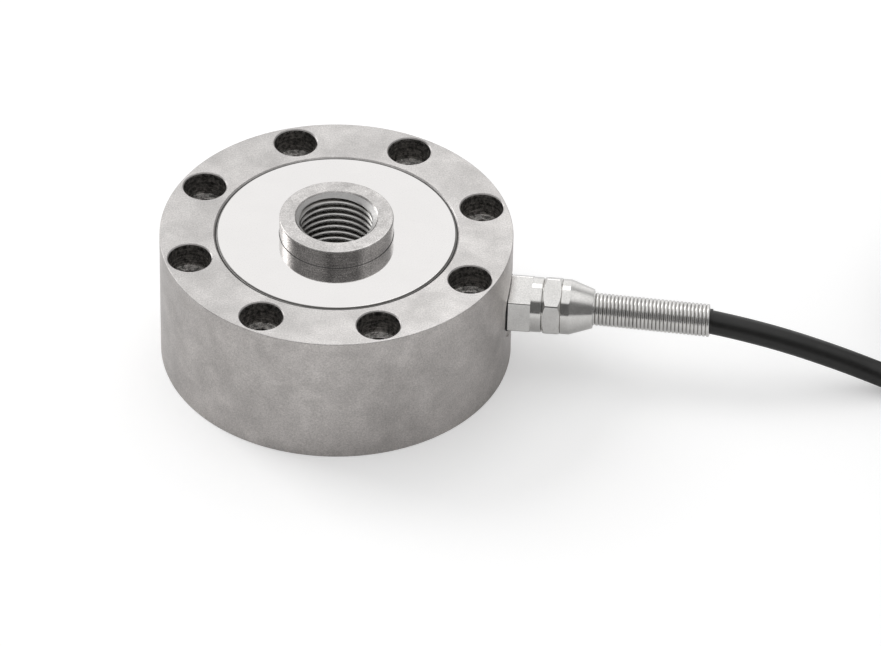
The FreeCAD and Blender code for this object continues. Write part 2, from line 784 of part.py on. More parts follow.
make_sensing_body()
make_cover("top_cover", "body_height")
make_cover("bottom_cover", "bottom_cover_depth")
make_sealant("top_sealant", "body_height")
make_sealant("bottom_sealant", "bottom_cover_depth")
make_gland_body()
make_oring()
make_bush("cable_grommet", GROMMET_START, GROMMET_END,
          "cable_radius + grommet_clearance", "chamber_radius - grommet_clearance")
make_bush("thrust_ring", THRUST_START, THRUST_END,
          "cable_passage_radius", "chamber_radius - grommet_clearance")
make_gland_nut()
make_spring()
spring_reach = size("spring_coils") * size("spring_pitch") - size("spring_insertion")
exit_point = spring_point(spring_reach)
make_tube("cable_inner", [
    (size("jacket_end"), 0, size("cable_height")),
    tuple(spring_point(0)),
    tuple(exit_point),
], size("cable_radius"))
make_tube("cable", [tuple(exit_point)] + CABLE_ROUTE, size("cable_radius"))
make_coil()
make_free_end()
make_board()
make_cores()
make_gauges()
make_wiring()

doc.recompute()

# Nothing is written unless every object of the document is sound.
for item in doc.Objects:
    if "Invalid" in item.State or "Error" in item.State:
        raise RuntimeError("%s failed: %s" % (item.Label, item.State))
for item in nodes:
    if item.Shape.isNull() or not item.Shape.isValid():
        raise RuntimeError("%s has no valid shape" % item.Label)

os.makedirs("parts", exist_ok=True)
for item in nodes:
    item.Shape.exportStep("parts/%s.step" % item.Label)
    print(item.Label, len(item.Shape.Solids), round(item.Shape.Volume, 3))
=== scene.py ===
"""Looks of a low round compression force sensor: satin steel body, mirror-polished cover, nickel gland,
spring relief and black cable, on a white studio floor. Places are in metres in the sensor's own frame; only
the cable's points are in millimetres."""
import json
import math

import bmesh
import bpy
from mathutils import Matrix, Vector


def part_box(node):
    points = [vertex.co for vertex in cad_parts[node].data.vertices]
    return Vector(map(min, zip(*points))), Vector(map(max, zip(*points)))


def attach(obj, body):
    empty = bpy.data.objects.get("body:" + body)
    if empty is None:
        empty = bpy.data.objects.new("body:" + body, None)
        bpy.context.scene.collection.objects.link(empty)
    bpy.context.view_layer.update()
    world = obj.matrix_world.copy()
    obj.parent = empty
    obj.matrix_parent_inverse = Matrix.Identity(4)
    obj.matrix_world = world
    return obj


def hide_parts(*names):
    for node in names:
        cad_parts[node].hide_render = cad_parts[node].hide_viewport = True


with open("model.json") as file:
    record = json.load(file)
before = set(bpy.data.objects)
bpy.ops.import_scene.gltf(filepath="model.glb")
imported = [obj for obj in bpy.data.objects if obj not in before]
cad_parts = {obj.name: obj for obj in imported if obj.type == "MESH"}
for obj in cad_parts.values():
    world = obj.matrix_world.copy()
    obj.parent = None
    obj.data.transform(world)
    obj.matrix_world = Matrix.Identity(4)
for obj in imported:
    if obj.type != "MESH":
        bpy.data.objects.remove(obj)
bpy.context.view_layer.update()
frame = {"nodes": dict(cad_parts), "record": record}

MM = 0.001
NEXT_TO_NOTHING = 1e-7
NODES = frame["nodes"]
BODY = "root"

# sizes that the frame gives
body_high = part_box("sensing_body")[1]
cover_low, cover_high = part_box("top_cover")
BODY_RADIUS = body_high.y
HUB_TOP = body_high.z
BODY_HEIGHT = cover_high.z
COVER_RADIUS = cover_high.y
COVER_THICKNESS = cover_high.z - cover_low.z
UNDER_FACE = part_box("bottom_cover")[0].z

# how far a cutter reaches past the metal
CUT_PAST = 1.0 * MM

# ring, hub and recesses of the body
BODY_EDGE = 0.16 * MM
BODY_SOFT_EDGE = 0.06 * MM
RECESS_MOUTH_EDGE = 0.12 * MM
RING_END_SKIN = 0.05 * MM
RING_INNER_RADIUS = 22.8 * MM
RECESS_RADIUS = 24.0 * MM
RECESS_EDGE = 0.35 * MM
HUB_RADIUS = 11.3 * MM
HUB_ROOT_RADIUS = 12.4 * MM
HUB_FOOT = 0.5 * MM
HUB_EDGE = 0.28 * MM
HUB_BEAD = 0.08 * MM
HUB_BEAD_DEPTH = 0.3 * MM
HUB_BEAD_LIFT = 0.02 * MM
COVER_EDGE = 0.22 * MM
COVER_BORE_EDGE = 0.05 * MM
COVER_HUB_GAP = 0.05 * MM
SEALANT_SHADOW_INSET = 0.15 * MM
BORE_RADIUS = 8.0 * MM
BORE_MOUTH = 0.28 * MM
SPOKE_COUNT = 4
SPOKE_WIDTH = 7.0 * MM
SPOKE_DEPTH = 13.0 * MM
SPOKE_FILLET = 2.0 * MM
WINDOW_ARC_STEPS = 6

# counterbored screw holes
SCREW_COUNT = 8
SCREW_CIRCLE = 30.0 * MM
SCREW_HOLE_RADIUS = 2.25 * MM
SCREW_HEAD_RADIUS = 4.0 * MM
SCREW_HEAD_DEPTH = 5.0 * MM
SCREW_SEAT = BODY_HEIGHT - SCREW_HEAD_DEPTH
SCREW_HEAD_CORNER = 0.15 * MM
SCREW_SEAT_EDGE = 0.02 * MM
SCREW_MOUTH = 0.5 * MM
SCREW_FLARE = 0.28 * MM
SCREW_FLARE_DEPTH = 1.5 * MM
SCREW_FLARE_EDGE = 0.1 * MM
SCREW_FOOT_EDGE = 0.25 * MM

# thread in the hub
THREAD_PITCH = 1.5 * MM
THREAD_CREST_RADIUS = 7.08 * MM
THREAD_ROOT_RADIUS = 7.99 * MM
THREAD_STEPS = 128
THREAD_START = math.radians(-60)
THREAD_FLANK = math.radians(30)
THREAD_NICK = 0.07 * MM
THREAD_FADE = 0.2
THREAD_COUNTERSINK = 0.81 * MM
THREAD_FIRST_LAND = 0.9 * MM
THREAD_MOUTH_DEPTH = 1.35 * MM
THREAD_SKIN = 0.2 * MM
THREAD_SKIN_INSET = 0.3 * MM
THREAD_WELD = 0.0002 * MM

# cable entry and gland
CABLE_HEIGHT = 14.1 * MM
SPOTFACE_RADIUS = 6.9 * MM
SPOTFACE_DEPTH = 0.6 * MM
ENTRY_RADIUS = 4.0 * MM
ENTRY_DEPTH = 7.2 * MM
ORING_GROOVE_DEPTH = 0.95 * MM
ORING_GROOVE_WIDTH = 1.0 * MM
PASSAGE_RADIUS = 2.6 * MM
THREAD_CLEARANCE = 0.04 * MM
GLAND_FLATS = 11.0 * MM
GLAND_FOOT_RADIUS = 5.3 * MM
GLAND_FOOT_LENGTH = 0.4 * MM
SEAL_LIP_RADIUS = 5.75 * MM
SEAL_LIP_EDGE = 0.1 * MM
GLAND_HEX_LENGTH = 4.35 * MM
GLAND_TURN = 22.7
COLLAR_RADIUS = 5.5 * MM
COLLAR_LENGTH = 2.25 * MM
COLLAR_EDGE = 0.35 * MM
MALE_RADIUS = 4.7 * MM
MALE_LENGTH = 3.2 * MM
CHAMBER_RADIUS = 3.5 * MM
CHAMBER_DEPTH = 6.0 * MM
NUT_GAP = 0.1 * MM
NUT_TURN = 23.7
NUT_HEX_LENGTH = 3.55 * MM
NUT_BEVEL = 0.1 * MM
NUT_BEVEL_SLOPE = math.tan(math.radians(33.0))
NUT_BARREL_RADIUS = 0.6 * GLAND_FLATS
NUT_NECK_DEPTH = 0.5 * MM
NUT_NECK_STEP = 0.2 * MM
BAND_RADIUS = 5.5 * MM
BAND_LENGTH = 1.75 * MM
BAND_EDGE = 0.5 * MM
BAND_BEVEL = 0.12 * MM
CONE_LENGTH = 4.65 * MM
NOSE_RADIUS = 3.91 * MM
NOSE_EDGE = 0.12 * MM
NUT_WEB = 1.0 * MM
HEX_CORNER = 0.4 * MM
NUT_CORNER = 0.6 * MM

FOOT_START = BODY_RADIUS - SPOTFACE_DEPTH
HEX_START = FOOT_START + GLAND_FOOT_LENGTH
HEX_END = HEX_START + GLAND_HEX_LENGTH
COLLAR_END = HEX_END + COLLAR_LENGTH
MALE_END = COLLAR_END + MALE_LENGTH
NUT_START = COLLAR_END + NUT_GAP
NUT_HEX_END = NUT_START + NUT_HEX_LENGTH
BAND_END = NUT_HEX_END + BAND_LENGTH
NOSE_END = BAND_END + CONE_LENGTH

# spring, which starts inside the nut and leans down a little
SPRING_RADIUS = 3.3 * MM
SPRING_WIRE = 0.75 * MM
SPRING_PITCH = 0.76 * MM
SPRING_COILS = 35
SPRING_INSERTION = 3.0 * MM
SPRING_SEAT_CLEARANCE = 0.15 * MM
SPRING_END_CLEARANCE = 0.16 * MM
SPRING_STEPS_PER_TURN = 36
SPRING_SIDES = 12
SPRING_SHARP_ANGLE = math.radians(50)
SPRING_DROOP = math.radians(1.87)
SPRING_ALONG = Vector((math.cos(SPRING_DROOP), 0, -math.sin(SPRING_DROOP)))
SPRING_LENGTH = SPRING_COILS * SPRING_PITCH
SPRING_NOSE = Vector((NOSE_END, 0, CABLE_HEIGHT))
SPRING_START = SPRING_NOSE - SPRING_ALONG * SPRING_INSERTION
SPRING_WEB_END = NOSE_END - SPRING_INSERTION - SPRING_END_CLEARANCE

# cable, with its points in millimetres: from the spring to the coil, and from the coil up to its free end
CABLE_RADIUS = 2.4 * MM
CABLE_EXIT = SPRING_START + SPRING_ALONG * SPRING_LENGTH
CABLE_IN_SPRING = 3.0 * MM
CABLE_ROUTE = [
    (75.7, 0.0, 13.0),
    (88.0, 0.0, 10.35),
    (99.5, 0.0, 6.7),
    (109.0, -0.2, 3.2),
    (118.5, -3.95, 2.4),
    (128.0, -7.41, 2.4),
]
CABLE_CLIMB = [
    (187.0, 33.5, 18.4),
    (184.0, 43.4, 20.6),
    (178.0, 49.8, 22.0),
]
COIL_CENTRE = Vector((150.0 * MM, 23.0 * MM, 0))
COIL_OUTER_TURN = 36.1 * MM
COIL_STEP = 4.87 * MM
COIL_RISE = 4.85 * MM
COIL_TURNS_PER_LAYER = 4
COIL_LAYERS = 4
COIL_POINTS_PER_TURN = 20
COIL_LAST_SHARE = 0.3
COIL_SHIFT_SHARE = 0.2
COIL_START = math.radians(-110)
COIL_TOP = 19.4 * MM

# free end of the cable, lying on the coil and pointing along -X
TAIL_Y = 50.5 * MM
JACKET_END_X = 151.5 * MM
TAIL_X = (169.5 * MM, 160.5 * MM, JACKET_END_X)
SLEEVE_START_X = 157.5 * MM
SLEEVE_END_X = 148.5 * MM
SLEEVE_RADIUS = 2.75 * MM
SLEEVE_GAP = 0.02 * MM
SLEEVE_SHOULDER = 1.2 * MM
SLEEVE_NOSE = 0.5 * MM
SLEEVE_BEND = 1.5 * MM
SLEEVE_LIP = 0.1 * MM
SLEEVE_LIP_EDGE = 0.15 * MM
SLEEVE_TAPER = 0.35 * MM
SLEEVE_TAPER_BEND = 0.6 * MM
SLEEVE_END_TAPER = 0.45 * MM
SLEEVE_END_EDGE = 0.2 * MM
TAIL_Z = COIL_TOP + SLEEVE_RADIUS
LEAD_RADIUS = 0.45 * MM
LEAD_CORE_RADIUS = 0.28 * MM
LEAD_PITCH = 1.0 * MM
LEAD_REACH = 20.0 * MM
LEAD_STEP = 2.0 * MM
LEAD_SPREAD = 2.4 * MM
LEAD_LIFT = 0.5 * MM
LEAD_STRAIGHT_SHARE = 0.25
LEAD_FAN_SHARE = 0.6
LEAD_FAN_SPREAD = 0.75 * LEAD_SPREAD
LEAD_BARE_SHARE = 0.2

# camera
CAMERA_PLACE = Vector((122.28 * MM, -1071.87 * MM, 888.01 * MM))
CAMERA_ELEVATION = math.radians(39.2795)
CAMERA_ROLL = math.radians(0.9966)
CAMERA_TURN = math.radians(5.4)
CAMERA_LENS = 285.15

# studio: the floor's own light for the camera and for mirrors, and the room's light
FLOOR_HALF = 12.0
FLOOR_LIFT = 0.32
MIRRORED_FLOOR_LIFT = 0.02
WORLD_LIGHT = 0.58
CEILING = 1.0
CEILING_START = math.sin(math.radians(47))
CEILING_FULL = math.sin(math.radians(56))

# walls that metal shows dimmer or brighter: azimuth, half the width and half the soft edge in degrees, and
# what the light is multiplied by
WALLS = [
    (12, 52, 12, 0.42),
    (-143, 45, 10, 0.28),
    (-70, 36, 8, 0.18),
    (-80, 23, 5, 0.85),
    (150, 9, 4, 2.7),
]

# soft boxes: name, place, width, power, and whether metal shows the box
SOFT_BOXES = [
    ("key_soft_box", (-0.9, 0.52, 0.85), 0.6, 6.0, False),
    ("top_soft_box", (-0.2, 0.2, 1.3), 0.9, 2.3, False),
    ("near_soft_box", (0.03, 0.16, 0.26), 0.1, 0.04, True),
]

# fineness of the round pieces
SEGMENTS = 256
SCREW_SEGMENTS = 72
BORE_SEGMENTS = 96
GLAND_SEGMENTS = 128
NUT_SEGMENTS = 192
SLEEVE_SEGMENTS = 64
SHARP_ANGLE = math.radians(33)
ARC_STEPS = 4


# geometry helpers

def new_object(name, data):
    item = bpy.data.objects.new(name, data)
    bpy.context.scene.collection.objects.link(item)
    return item


def around(radius, angle, *height):
    """The point at a radius and an angle round Z, with a height where one is given."""
    return (radius * math.cos(angle), radius * math.sin(angle), *height)


def rounded(corners, steps=ARC_STEPS):
    """The points of a closed outline whose corners are (across, along, rounding)."""
    points = []
    for index, (across, along, rounding) in enumerate(corners):
        corner = Vector((across, along))
        if not rounding:
            points.append(corner)
            continue
        before = (Vector(corners[index - 1][:2]) - corner).normalized()
        after = (Vector(corners[(index + 1) % len(corners)][:2]) - corner).normalized()
        half = before.angle(after) / 2
        centre = corner + (before + after).normalized() * (rounding / math.sin(half))
        first = corner + before * (rounding / math.tan(half)) - centre
        last = corner + after * (rounding / math.tan(half)) - centre
        for step in range(steps + 1):
            points.append(centre + first.lerp(last, step / steps).normalized() * rounding)
    return points


def closed(name, form):
    """An object of a closed form whose faces all look outward."""
    bmesh.ops.recalc_face_normals(form, faces=form.faces)
    if form.calc_volume(signed=True) < 0:
        bmesh.ops.reverse_faces(form, faces=form.faces)
    mesh = bpy.data.meshes.new(name)
    form.to_mesh(mesh)
    form.free()
    return new_object(name, mesh)


def turned(name, profile, segments=SEGMENTS):
    """A solid made by turning a closed profile of (radius, height) points round Z."""
    form = bmesh.new()
    rings = []
    for radius, height in profile:
        if radius < NEXT_TO_NOTHING:
            rings.append([form.verts.new((0, 0, height))] * segments)
            continue
        points = [around(radius, 2 * math.pi * k / segments, height) for k in range(segments)]
        rings.append([form.verts.new(point) for point in points])
    for index, ring in enumerate(rings):
        before = rings[index - 1]
        if ring[0] is ring[1] and before[0] is before[1]:
            continue
        for k in range(segments):
            following = (k + 1) % segments
            corners = []
            for corner in (before[k], before[following], ring[following], ring[k]):
                if corner not in corners:
                    corners.append(corner)
            form.faces.new(corners)
    return closed(name, form)


def join_rings(form, here, there):
    """Closes the way between two rings of as many vertices."""
    for k in range(len(here)):
        following = (k + 1) % len(here)
        form.faces.new((here[k], here[following], there[following], there[k]))


def prism(name, outline, start, end):
    """A bar along Z with a closed outline of (x, y) points."""
    form = bmesh.new()
    low = [form.verts.new((p[0], p[1], start)) for p in outline]
    high = [form.verts.new((p[0], p[1], end)) for p in outline]
    form.faces.new(low)
    form.faces.new(high)
    join_rings(form, low, high)
    return closed(name, form)


def place(item, matrix):
    """Moves a mesh in its own vertices, so that the object stays at the origin."""
    item.data.transform(matrix)
    return item


def lay_along_gland(item):
    """Turns a piece made along Z to lie along X at the height of the cable entry."""
    return place(item, Matrix.Translation((0, 0, CABLE_HEIGHT)) @ Matrix.Rotation(math.pi / 2, 4, "Y"))


def combine(target, tool, operation):
    """Applies a boolean to the target and removes the tool."""
    modifier = target.modifiers.new(operation.lower(), "BOOLEAN")
    modifier.operation = operation
    modifier.solver = "MANIFOLD"
    modifier.object = tool
    seen = target.evaluated_get(bpy.context.evaluated_depsgraph_get())
    target.data = bpy.data.meshes.new_from_object(seen)
    target.modifiers.clear()
    bpy.data.objects.remove(tool)
    return target


def joined(name, items):
    """One object of several separate meshes."""
    mesh = bpy.data.meshes.new(name)
    form = bmesh.new()
    for item in items:
        form.from_mesh(item.data)
        bpy.data.objects.remove(item)
    form.to_mesh(mesh)
    form.free()
    return new_object(name, mesh)


def smooth(item, angle=SHARP_ANGLE):
    """Smooth shading that keeps flat faces flat and edges past an angle crisp."""
    form = bmesh.new()
    form.from_mesh(item.data)
    for face in form.faces:
        face.smooth = True
    for edge in form.edges:
        edge.smooth = len(edge.link_faces) != 2 or edge.calc_face_angle(0) < angle
    form.to_mesh(item.data)
    form.free()
    weighted = item.modifiers.new("flat_faces", "WEIGHTED_NORMAL")
    weighted.keep_sharp = True
    weighted.weight = 100
    return item


def hexagon(flats, turn, corner):
    """A hexagon in the plane across the gland's axis, in the coordinates that lay_along_gland expects."""
    points = []
    for k in range(6):
        angle = math.radians(turn + 60 * k)
        reach = flats / math.sqrt(3)
        points.append((-reach * math.sin(angle), reach * math.cos(angle), corner))
    return rounded(points, 8)


def curve(name, points, radius, sides=6, smoothness=6):
    """A round cord on one open NURBS spline with these control points."""
    data = bpy.data.curves.new(name, "CURVE")
    data.dimensions = "3D"
    spline = data.splines.new("NURBS")
    spline.points.add(len(points) - 1)
    for spot, point in zip(spline.points, points):
        spot.co = (*point, 1)
    spline.order_u = 3
    spline.use_endpoint_u = True
    spline.resolution_u = smoothness
    data.bevel_depth = radius
    data.bevel_resolution = sides
    data.use_fill_caps = True
    return new_object(name, data)


# shader helpers

def add(tree, kind, **values):
    """A node with settings as attributes and unlinked inputs by name, written with _ for a space."""
    node = tree.nodes.new("ShaderNode" + kind)
    for key, value in values.items():
        if hasattr(node, key):
            setattr(node, key, value)
        else:
            node.inputs[key.replace("_", " ")].default_value = value
    return node


def put(tree, socket, value):
    """Sets a socket to a number or a colour, or links an output to it."""
    if isinstance(value, (int, float, tuple)):
        socket.default_value = value
    else:
        tree.links.new(value, socket)


def math_node(tree, operation, *values):
    node = add(tree, "Math", operation=operation)
    for socket, value in zip(node.inputs, values):
        put(tree, socket, value)
    return node.outputs[0]


def mix_colour(tree, factor, first, second, blend="MIX"):
    node = add(tree, "Mix", data_type="RGBA", blend_type=blend)
    for number, value in ((0, factor), (6, first), (7, second)):
        put(tree, node.inputs[number], value)
    return node.outputs[2]


def ramp(tree, value, start, end, low=0.0, high=1.0, form="SMOOTHSTEP"):
    """Goes from low to high while the value goes from start to end."""
    node = add(tree, "MapRange", interpolation_type=form, From_Min=start, From_Max=end)
    for name, given in (("Value", value), ("To Min", low), ("To Max", high)):
        put(tree, node.inputs[name], given)
    return node.outputs[0]


def scaled(tree, vector, size):
    """A vector divided by a size, for textures whose features have that size."""
    node = add(tree, "VectorMath", operation="SCALE")
    tree.links.new(vector, node.inputs[0])
    tree.links.new(math_node(tree, "DIVIDE", 1.0, size), node.inputs["Scale"])
    return node.outputs[0]


def new_group(name, *inputs):
    """A shader node group with these inputs, Low and High; returns it, what it is given and its result."""
    tree = bpy.data.node_groups.new(name, "ShaderNodeTree")
    for label, default in (*inputs, ("Low", 0.0), ("High", 1.0)):
        kind = "NodeSocketVector" if default is None else "NodeSocketFloat"
        socket = tree.interface.new_socket(name=label, in_out="INPUT", socket_type=kind)
        if default is not None:
            socket.default_value = default
    tree.interface.new_socket(name="Value", in_out="OUTPUT", socket_type="NodeSocketFloat")
    return tree, tree.nodes.new("NodeGroupInput").outputs, tree.nodes.new("NodeGroupOutput").inputs["Value"]


def make_cloudiness():
    """Soft clouds, between Low and High."""
    tree, given, result = new_group("cloudiness", ("Vector", None), ("Size", 0.01))
    clouds = add(tree, "TexNoise", Scale=1.0, Detail=4.0, Roughness=0.55, Distortion=0.4)
    tree.links.new(scaled(tree, given["Vector"], given["Size"]), clouds.inputs["Vector"])
    tree.links.new(ramp(tree, clouds.outputs[0], 0.32, 0.68, given["Low"], given["High"]), result)
    return tree


def make_grain():
    """Fine even grain, between Low and High."""
    tree, given, result = new_group("grain", ("Vector", None), ("Size", 0.0003))
    fine = add(tree, "TexNoise", Scale=1.0, Detail=2.0, Roughness=0.6)
    tree.links.new(scaled(tree, given["Vector"], given["Size"]), fine.inputs["Vector"])
    tree.links.new(ramp(tree, fine.outputs[0], 0.25, 0.75, given["Low"], given["High"], "LINEAR"), result)
    return tree


def make_turning_marks():
    """Lines that a cutting tool leaves, one after another along a distance."""
    tree, given, result = new_group("turning_marks", ("Distance", 0.0), ("Pitch", 0.0002))
    lines = add(tree, "TexNoise", noise_dimensions="1D", Scale=1.0, Detail=3.0, Roughness=0.7)
    tree.links.new(math_node(tree, "DIVIDE", given["Distance"], given["Pitch"]), lines.inputs["W"])
    tree.links.new(ramp(tree, lines.outputs[0], 0.3, 0.7, given["Low"], given["High"], "LINEAR"), result)
    return tree


CLOUDINESS = make_cloudiness()
GRAIN = make_grain()
TURNING_MARKS = make_turning_marks()


def effect(tree, group, **values):
    """One of the shared effects, placed in a material; values are numbers or sockets."""
    node = tree.nodes.new("ShaderNodeGroup")
    node.node_tree = group
    for key, value in values.items():
        put(tree, node.inputs[key], value)
    return node.outputs[0]


def cloudy(tree, spot, size, low=0.0, high=1.0):
    return effect(tree, CLOUDINESS, Vector=spot, Size=size, Low=low, High=high)


def grainy(tree, spot, size, low=0.0, high=1.0):
    return effect(tree, GRAIN, Vector=spot, Size=size, Low=low, High=high)


def marked(tree, distance, pitch, low=0.0, high=1.0):
    return effect(tree, TURNING_MARKS, Distance=distance, Pitch=pitch, Low=low, High=high)


def new_material(name, colour, roughness, metallic=0.0):
    """A material with plain values, which show where no nodes are read; returns its tree and shader too."""
    material = bpy.data.materials.new(name)
    material.use_nodes = True
    tree = material.node_tree
    shader = tree.nodes["Principled BSDF"]
    shader.inputs["Base Color"].default_value = (*colour, 1)
    shader.inputs["Roughness"].default_value = roughness
    shader.inputs["Metallic"].default_value = metallic
    return material, tree, shader


def object_place(tree):
    return add(tree, "TexCoord").outputs["Object"]


def parts_of(tree, vector):
    node = add(tree, "SeparateXYZ")
    tree.links.new(vector, node.inputs[0])
    return node.outputs


def facing_up(tree):
    """1 where the surface looks up, 0 where it is upright and -1 where it looks down."""
    return parts_of(tree, add(tree, "NewGeometry").outputs["Normal"])[2]


def radius_of(tree, spot):
    """How far a place lies from the body's axis."""
    x, y = parts_of(tree, spot)[:2]
    squares = math_node(tree, "ADD", math_node(tree, "MULTIPLY", x, x), math_node(tree, "MULTIPLY", y, y))
    return math_node(tree, "SQRT", squares)


def tint(tree, shader, colour, *factors):
    """Links a colour, multiplied by factors that change over the surface, to the shader."""
    for factor in factors:
        colour = mix_colour(tree, 1.0, colour, factor, "MULTIPLY")
    tree.links.new(colour, shader.inputs["Base Color"])


def roughen(tree, shader, value):
    tree.links.new(value, shader.inputs["Roughness"])


def bump(tree, shader, height, depth, strength=1.0):
    node = add(tree, "Bump", Strength=strength, Distance=depth)
    tree.links.new(height, node.inputs["Height"])
    tree.links.new(node.outputs[0], shader.inputs["Normal"])


def body_steel():
    """Satin steel: cloudy and grained, with turning marks that follow radius and height; faces that look up,
    and the hub, are painted paler than the sides as painted light.
    """
    shaded_side_steel = (0.570, 0.543, 0.527)
    lit_top_steel = (0.590, 0.572, 0.560)
    material, tree, shader = new_material("body_steel", shaded_side_steel, 0.4, 1.0)
    spot = object_place(tree)
    z = parts_of(tree, spot)[2]
    radius = radius_of(tree, spot)
    upward = ramp(tree, math_node(tree, "ABSOLUTE", facing_up(tree)), 0.2, 0.85)
    on_hub = math_node(tree, "LESS_THAN", radius, HUB_RADIUS + 0.2 * MM)
    hub_side = math_node(tree, "MULTIPLY", on_hub, math_node(tree, "SUBTRACT", 1.0, upward))
    # painted light: faces that look up, and the hub, get the paler top colour
    bright = math_node(tree, "MAXIMUM", upward, math_node(tree, "MULTIPLY", on_hub, 0.8))
    base = mix_colour(tree, bright, (*shaded_side_steel, 1), (*lit_top_steel, 1))
    clouds = cloudy(tree, spot, 10 * MM, 0.89, 1.08)
    blotches = cloudy(tree, spot, 4 * MM, 0.94, 1.05)
    grain = grainy(tree, spot, 0.3 * MM, 0.78, 1.22)
    lines = marked(tree, z, 0.22 * MM, -0.12, 0.08)
    speckle = grainy(tree, spot, 0.26 * MM, -0.45, 0.45)
    worn = math_node(tree, "MULTIPLY_ADD", hub_side, math_node(tree, "ADD", lines, speckle), 1.0)
    patchy = math_node(tree, "MULTIPLY_ADD", on_hub, cloudy(tree, spot, 2.5 * MM, -0.12, 0.07), 1.0)
    tint(tree, shader, base, clouds, blotches, grain, worn, patchy)
    roughness = math_node(tree, "MULTIPLY_ADD", on_hub, -0.14, cloudy(tree, spot, 9 * MM, 0.34, 0.44))
    roughen(tree, shader, math_node(tree, "MULTIPLY_ADD", hub_side, -0.13, roughness))
    marks = marked(tree, math_node(tree, "ADD", radius, z), 0.3 * MM)
    deep_marks = math_node(tree, "MULTIPLY", marks, math_node(tree, "MULTIPLY_ADD", hub_side, 1.8, 0.3))
    fine = grainy(tree, spot, 0.16 * MM, 0.0, 0.5)
    bump(tree, shader, math_node(tree, "ADD", deep_marks, fine), 0.006 * MM, 0.8)
    return material


def hole_steel_painted_shade():
    """Steel in the screw holes with painted shade and light: the mottled, ringed walls are painted dark, and
    the screw's seat and the hole below it are painted pale.
    """
    material, tree, shader = new_material("hole_steel_painted_shade", (0.4, 0.38, 0.36), 0.5, 1.0)
    spot = object_place(tree)
    z = parts_of(tree, spot)[2]
    below_seat = math_node(tree, "LESS_THAN", z, SCREW_SEAT - 0.01 * MM)
    painted_light_share = math_node(tree, "MAXIMUM", below_seat, math_node(tree, "GREATER_THAN", facing_up(tree), 0.6))
    # painted light on the seat and below it, painted shade on the walls
    base = mix_colour(tree, painted_light_share, (0.25, 0.24, 0.23, 1), (0.62, 0.60, 0.58, 1))
    mottle = cloudy(tree, spot, 0.8 * MM, 0.35, 1.6)
    speckle = grainy(tree, spot, 0.22 * MM, 0.4, 1.6)
    marks = marked(tree, z, 0.5 * MM, 0.5, 1.4)
    tint(tree, shader, base, mottle, speckle, marks)
    bump(tree, shader, marks, 0.02 * MM)
    return material


def thread_steel():
    """Cut thread: painted shade in the roots leaves the crests pale, and the countersink at its mouth is
    dull.
    """
    material, tree, shader = new_material("thread_steel", (0.6, 0.59, 0.58), 0.25, 1.0)
    spot = object_place(tree)
    z = parts_of(tree, spot)[2]
    depth = ramp(tree, radius_of(tree, spot), THREAD_CREST_RADIUS + 0.04 * MM, THREAD_CREST_RADIUS + 0.4 * MM)
    near_mouth = math_node(tree, "GREATER_THAN", z, HUB_TOP - THREAD_MOUTH_DEPTH)
    # painted shade: darkened towards the roots of the thread, but not near its mouth
    painted_root_shade = math_node(tree, "MULTIPLY", depth, math_node(tree, "SUBTRACT", 1.0, near_mouth))
    base = mix_colour(tree, painted_root_shade, (0.68, 0.67, 0.66, 1), (0.36, 0.35, 0.335, 1))
    tint(tree, shader, base, grainy(tree, spot, 0.3 * MM, 0.9, 1.08))
    roughen(tree, shader, math_node(tree, "MULTIPLY_ADD", near_mouth, 0.28, 0.22))
    bump(tree, shader, marked(tree, z, 0.1 * MM), 0.004 * MM)
    return material


def cover_steel():
    """Mirror-polished sheet with a trace of wiping marks and a duller rolled edge, which is painted dark as
    painted shade.
    """
    material, tree, shader = new_material("cover_steel", (0.86, 0.845, 0.835), 0.05, 1.0)
    spot = object_place(tree)
    rolled = math_node(tree, "GREATER_THAN", radius_of(tree, spot), COVER_RADIUS - 0.8 * COVER_EDGE)
    # painted shade: the rolled edge gets a dark colour
    base = mix_colour(tree, rolled, (0.87, 0.853, 0.843, 1), (0.30, 0.293, 0.285, 1))
    haze = cloudy(tree, spot, 11 * MM, 0.035, 0.085)
    roughen(tree, shader, math_node(tree, "MULTIPLY_ADD", rolled, 0.3, haze))
    wiped = cloudy(tree, spot, 7 * MM, 0.985, 1.0)
    tint(tree, shader, base, wiped, grainy(tree, spot, 0.3 * MM, 0.965, 1.005))
    bump(tree, shader, cloudy(tree, spot, 9 * MM), 0.004 * MM, 0.6)
    return material


def cured_sealant():
    """Grey sealant with painted shadow: it is coloured near-black along the ring, where it dips into the
    groove.
    """
    grey = (0.27, 0.262, 0.255)
    material, tree, shader = new_material("sealant", grey, 0.38)
    spot = object_place(tree)
    painted_groove_shadow = math_node(tree, "GREATER_THAN", radius_of(tree, spot), COVER_RADIUS + SEALANT_SHADOW_INSET)
    # painted shadow: near-black along the ring
    base = mix_colour(tree, painted_groove_shadow, (*grey, 1), (0.035, 0.034, 0.033, 1))
    tint(tree, shader, base, cloudy(tree, spot, 3 * MM, 0.8, 1.15))
    bump(tree, shader, grainy(tree, spot, 0.3 * MM), 0.004 * MM)
    return material


def bright_nickel():
    """Bright plating over turned brass; the marks run round the gland's axis, and the cone is duller."""
    material, tree, shader = new_material("gland_nickel", (0.76, 0.75, 0.73), 0.16, 1.0)
    spot = object_place(tree)
    x = parts_of(tree, spot)[0]
    tint(tree, shader, (0.78, 0.768, 0.75, 1), cloudy(tree, spot, 4 * MM, 0.94, 1.04),
         grainy(tree, spot, 0.24 * MM, 0.88, 1.1))
    on_cone = math_node(tree, "GREATER_THAN", x, BAND_END + 0.1 * MM)
    roughness = cloudy(tree, spot, 3 * MM, 0.07, 0.16)
    roughen(tree, shader, math_node(tree, "MULTIPLY_ADD", on_cone, 0.06, roughness))
    bump(tree, shader, marked(tree, x, 0.12 * MM), 0.003 * MM)
    return material


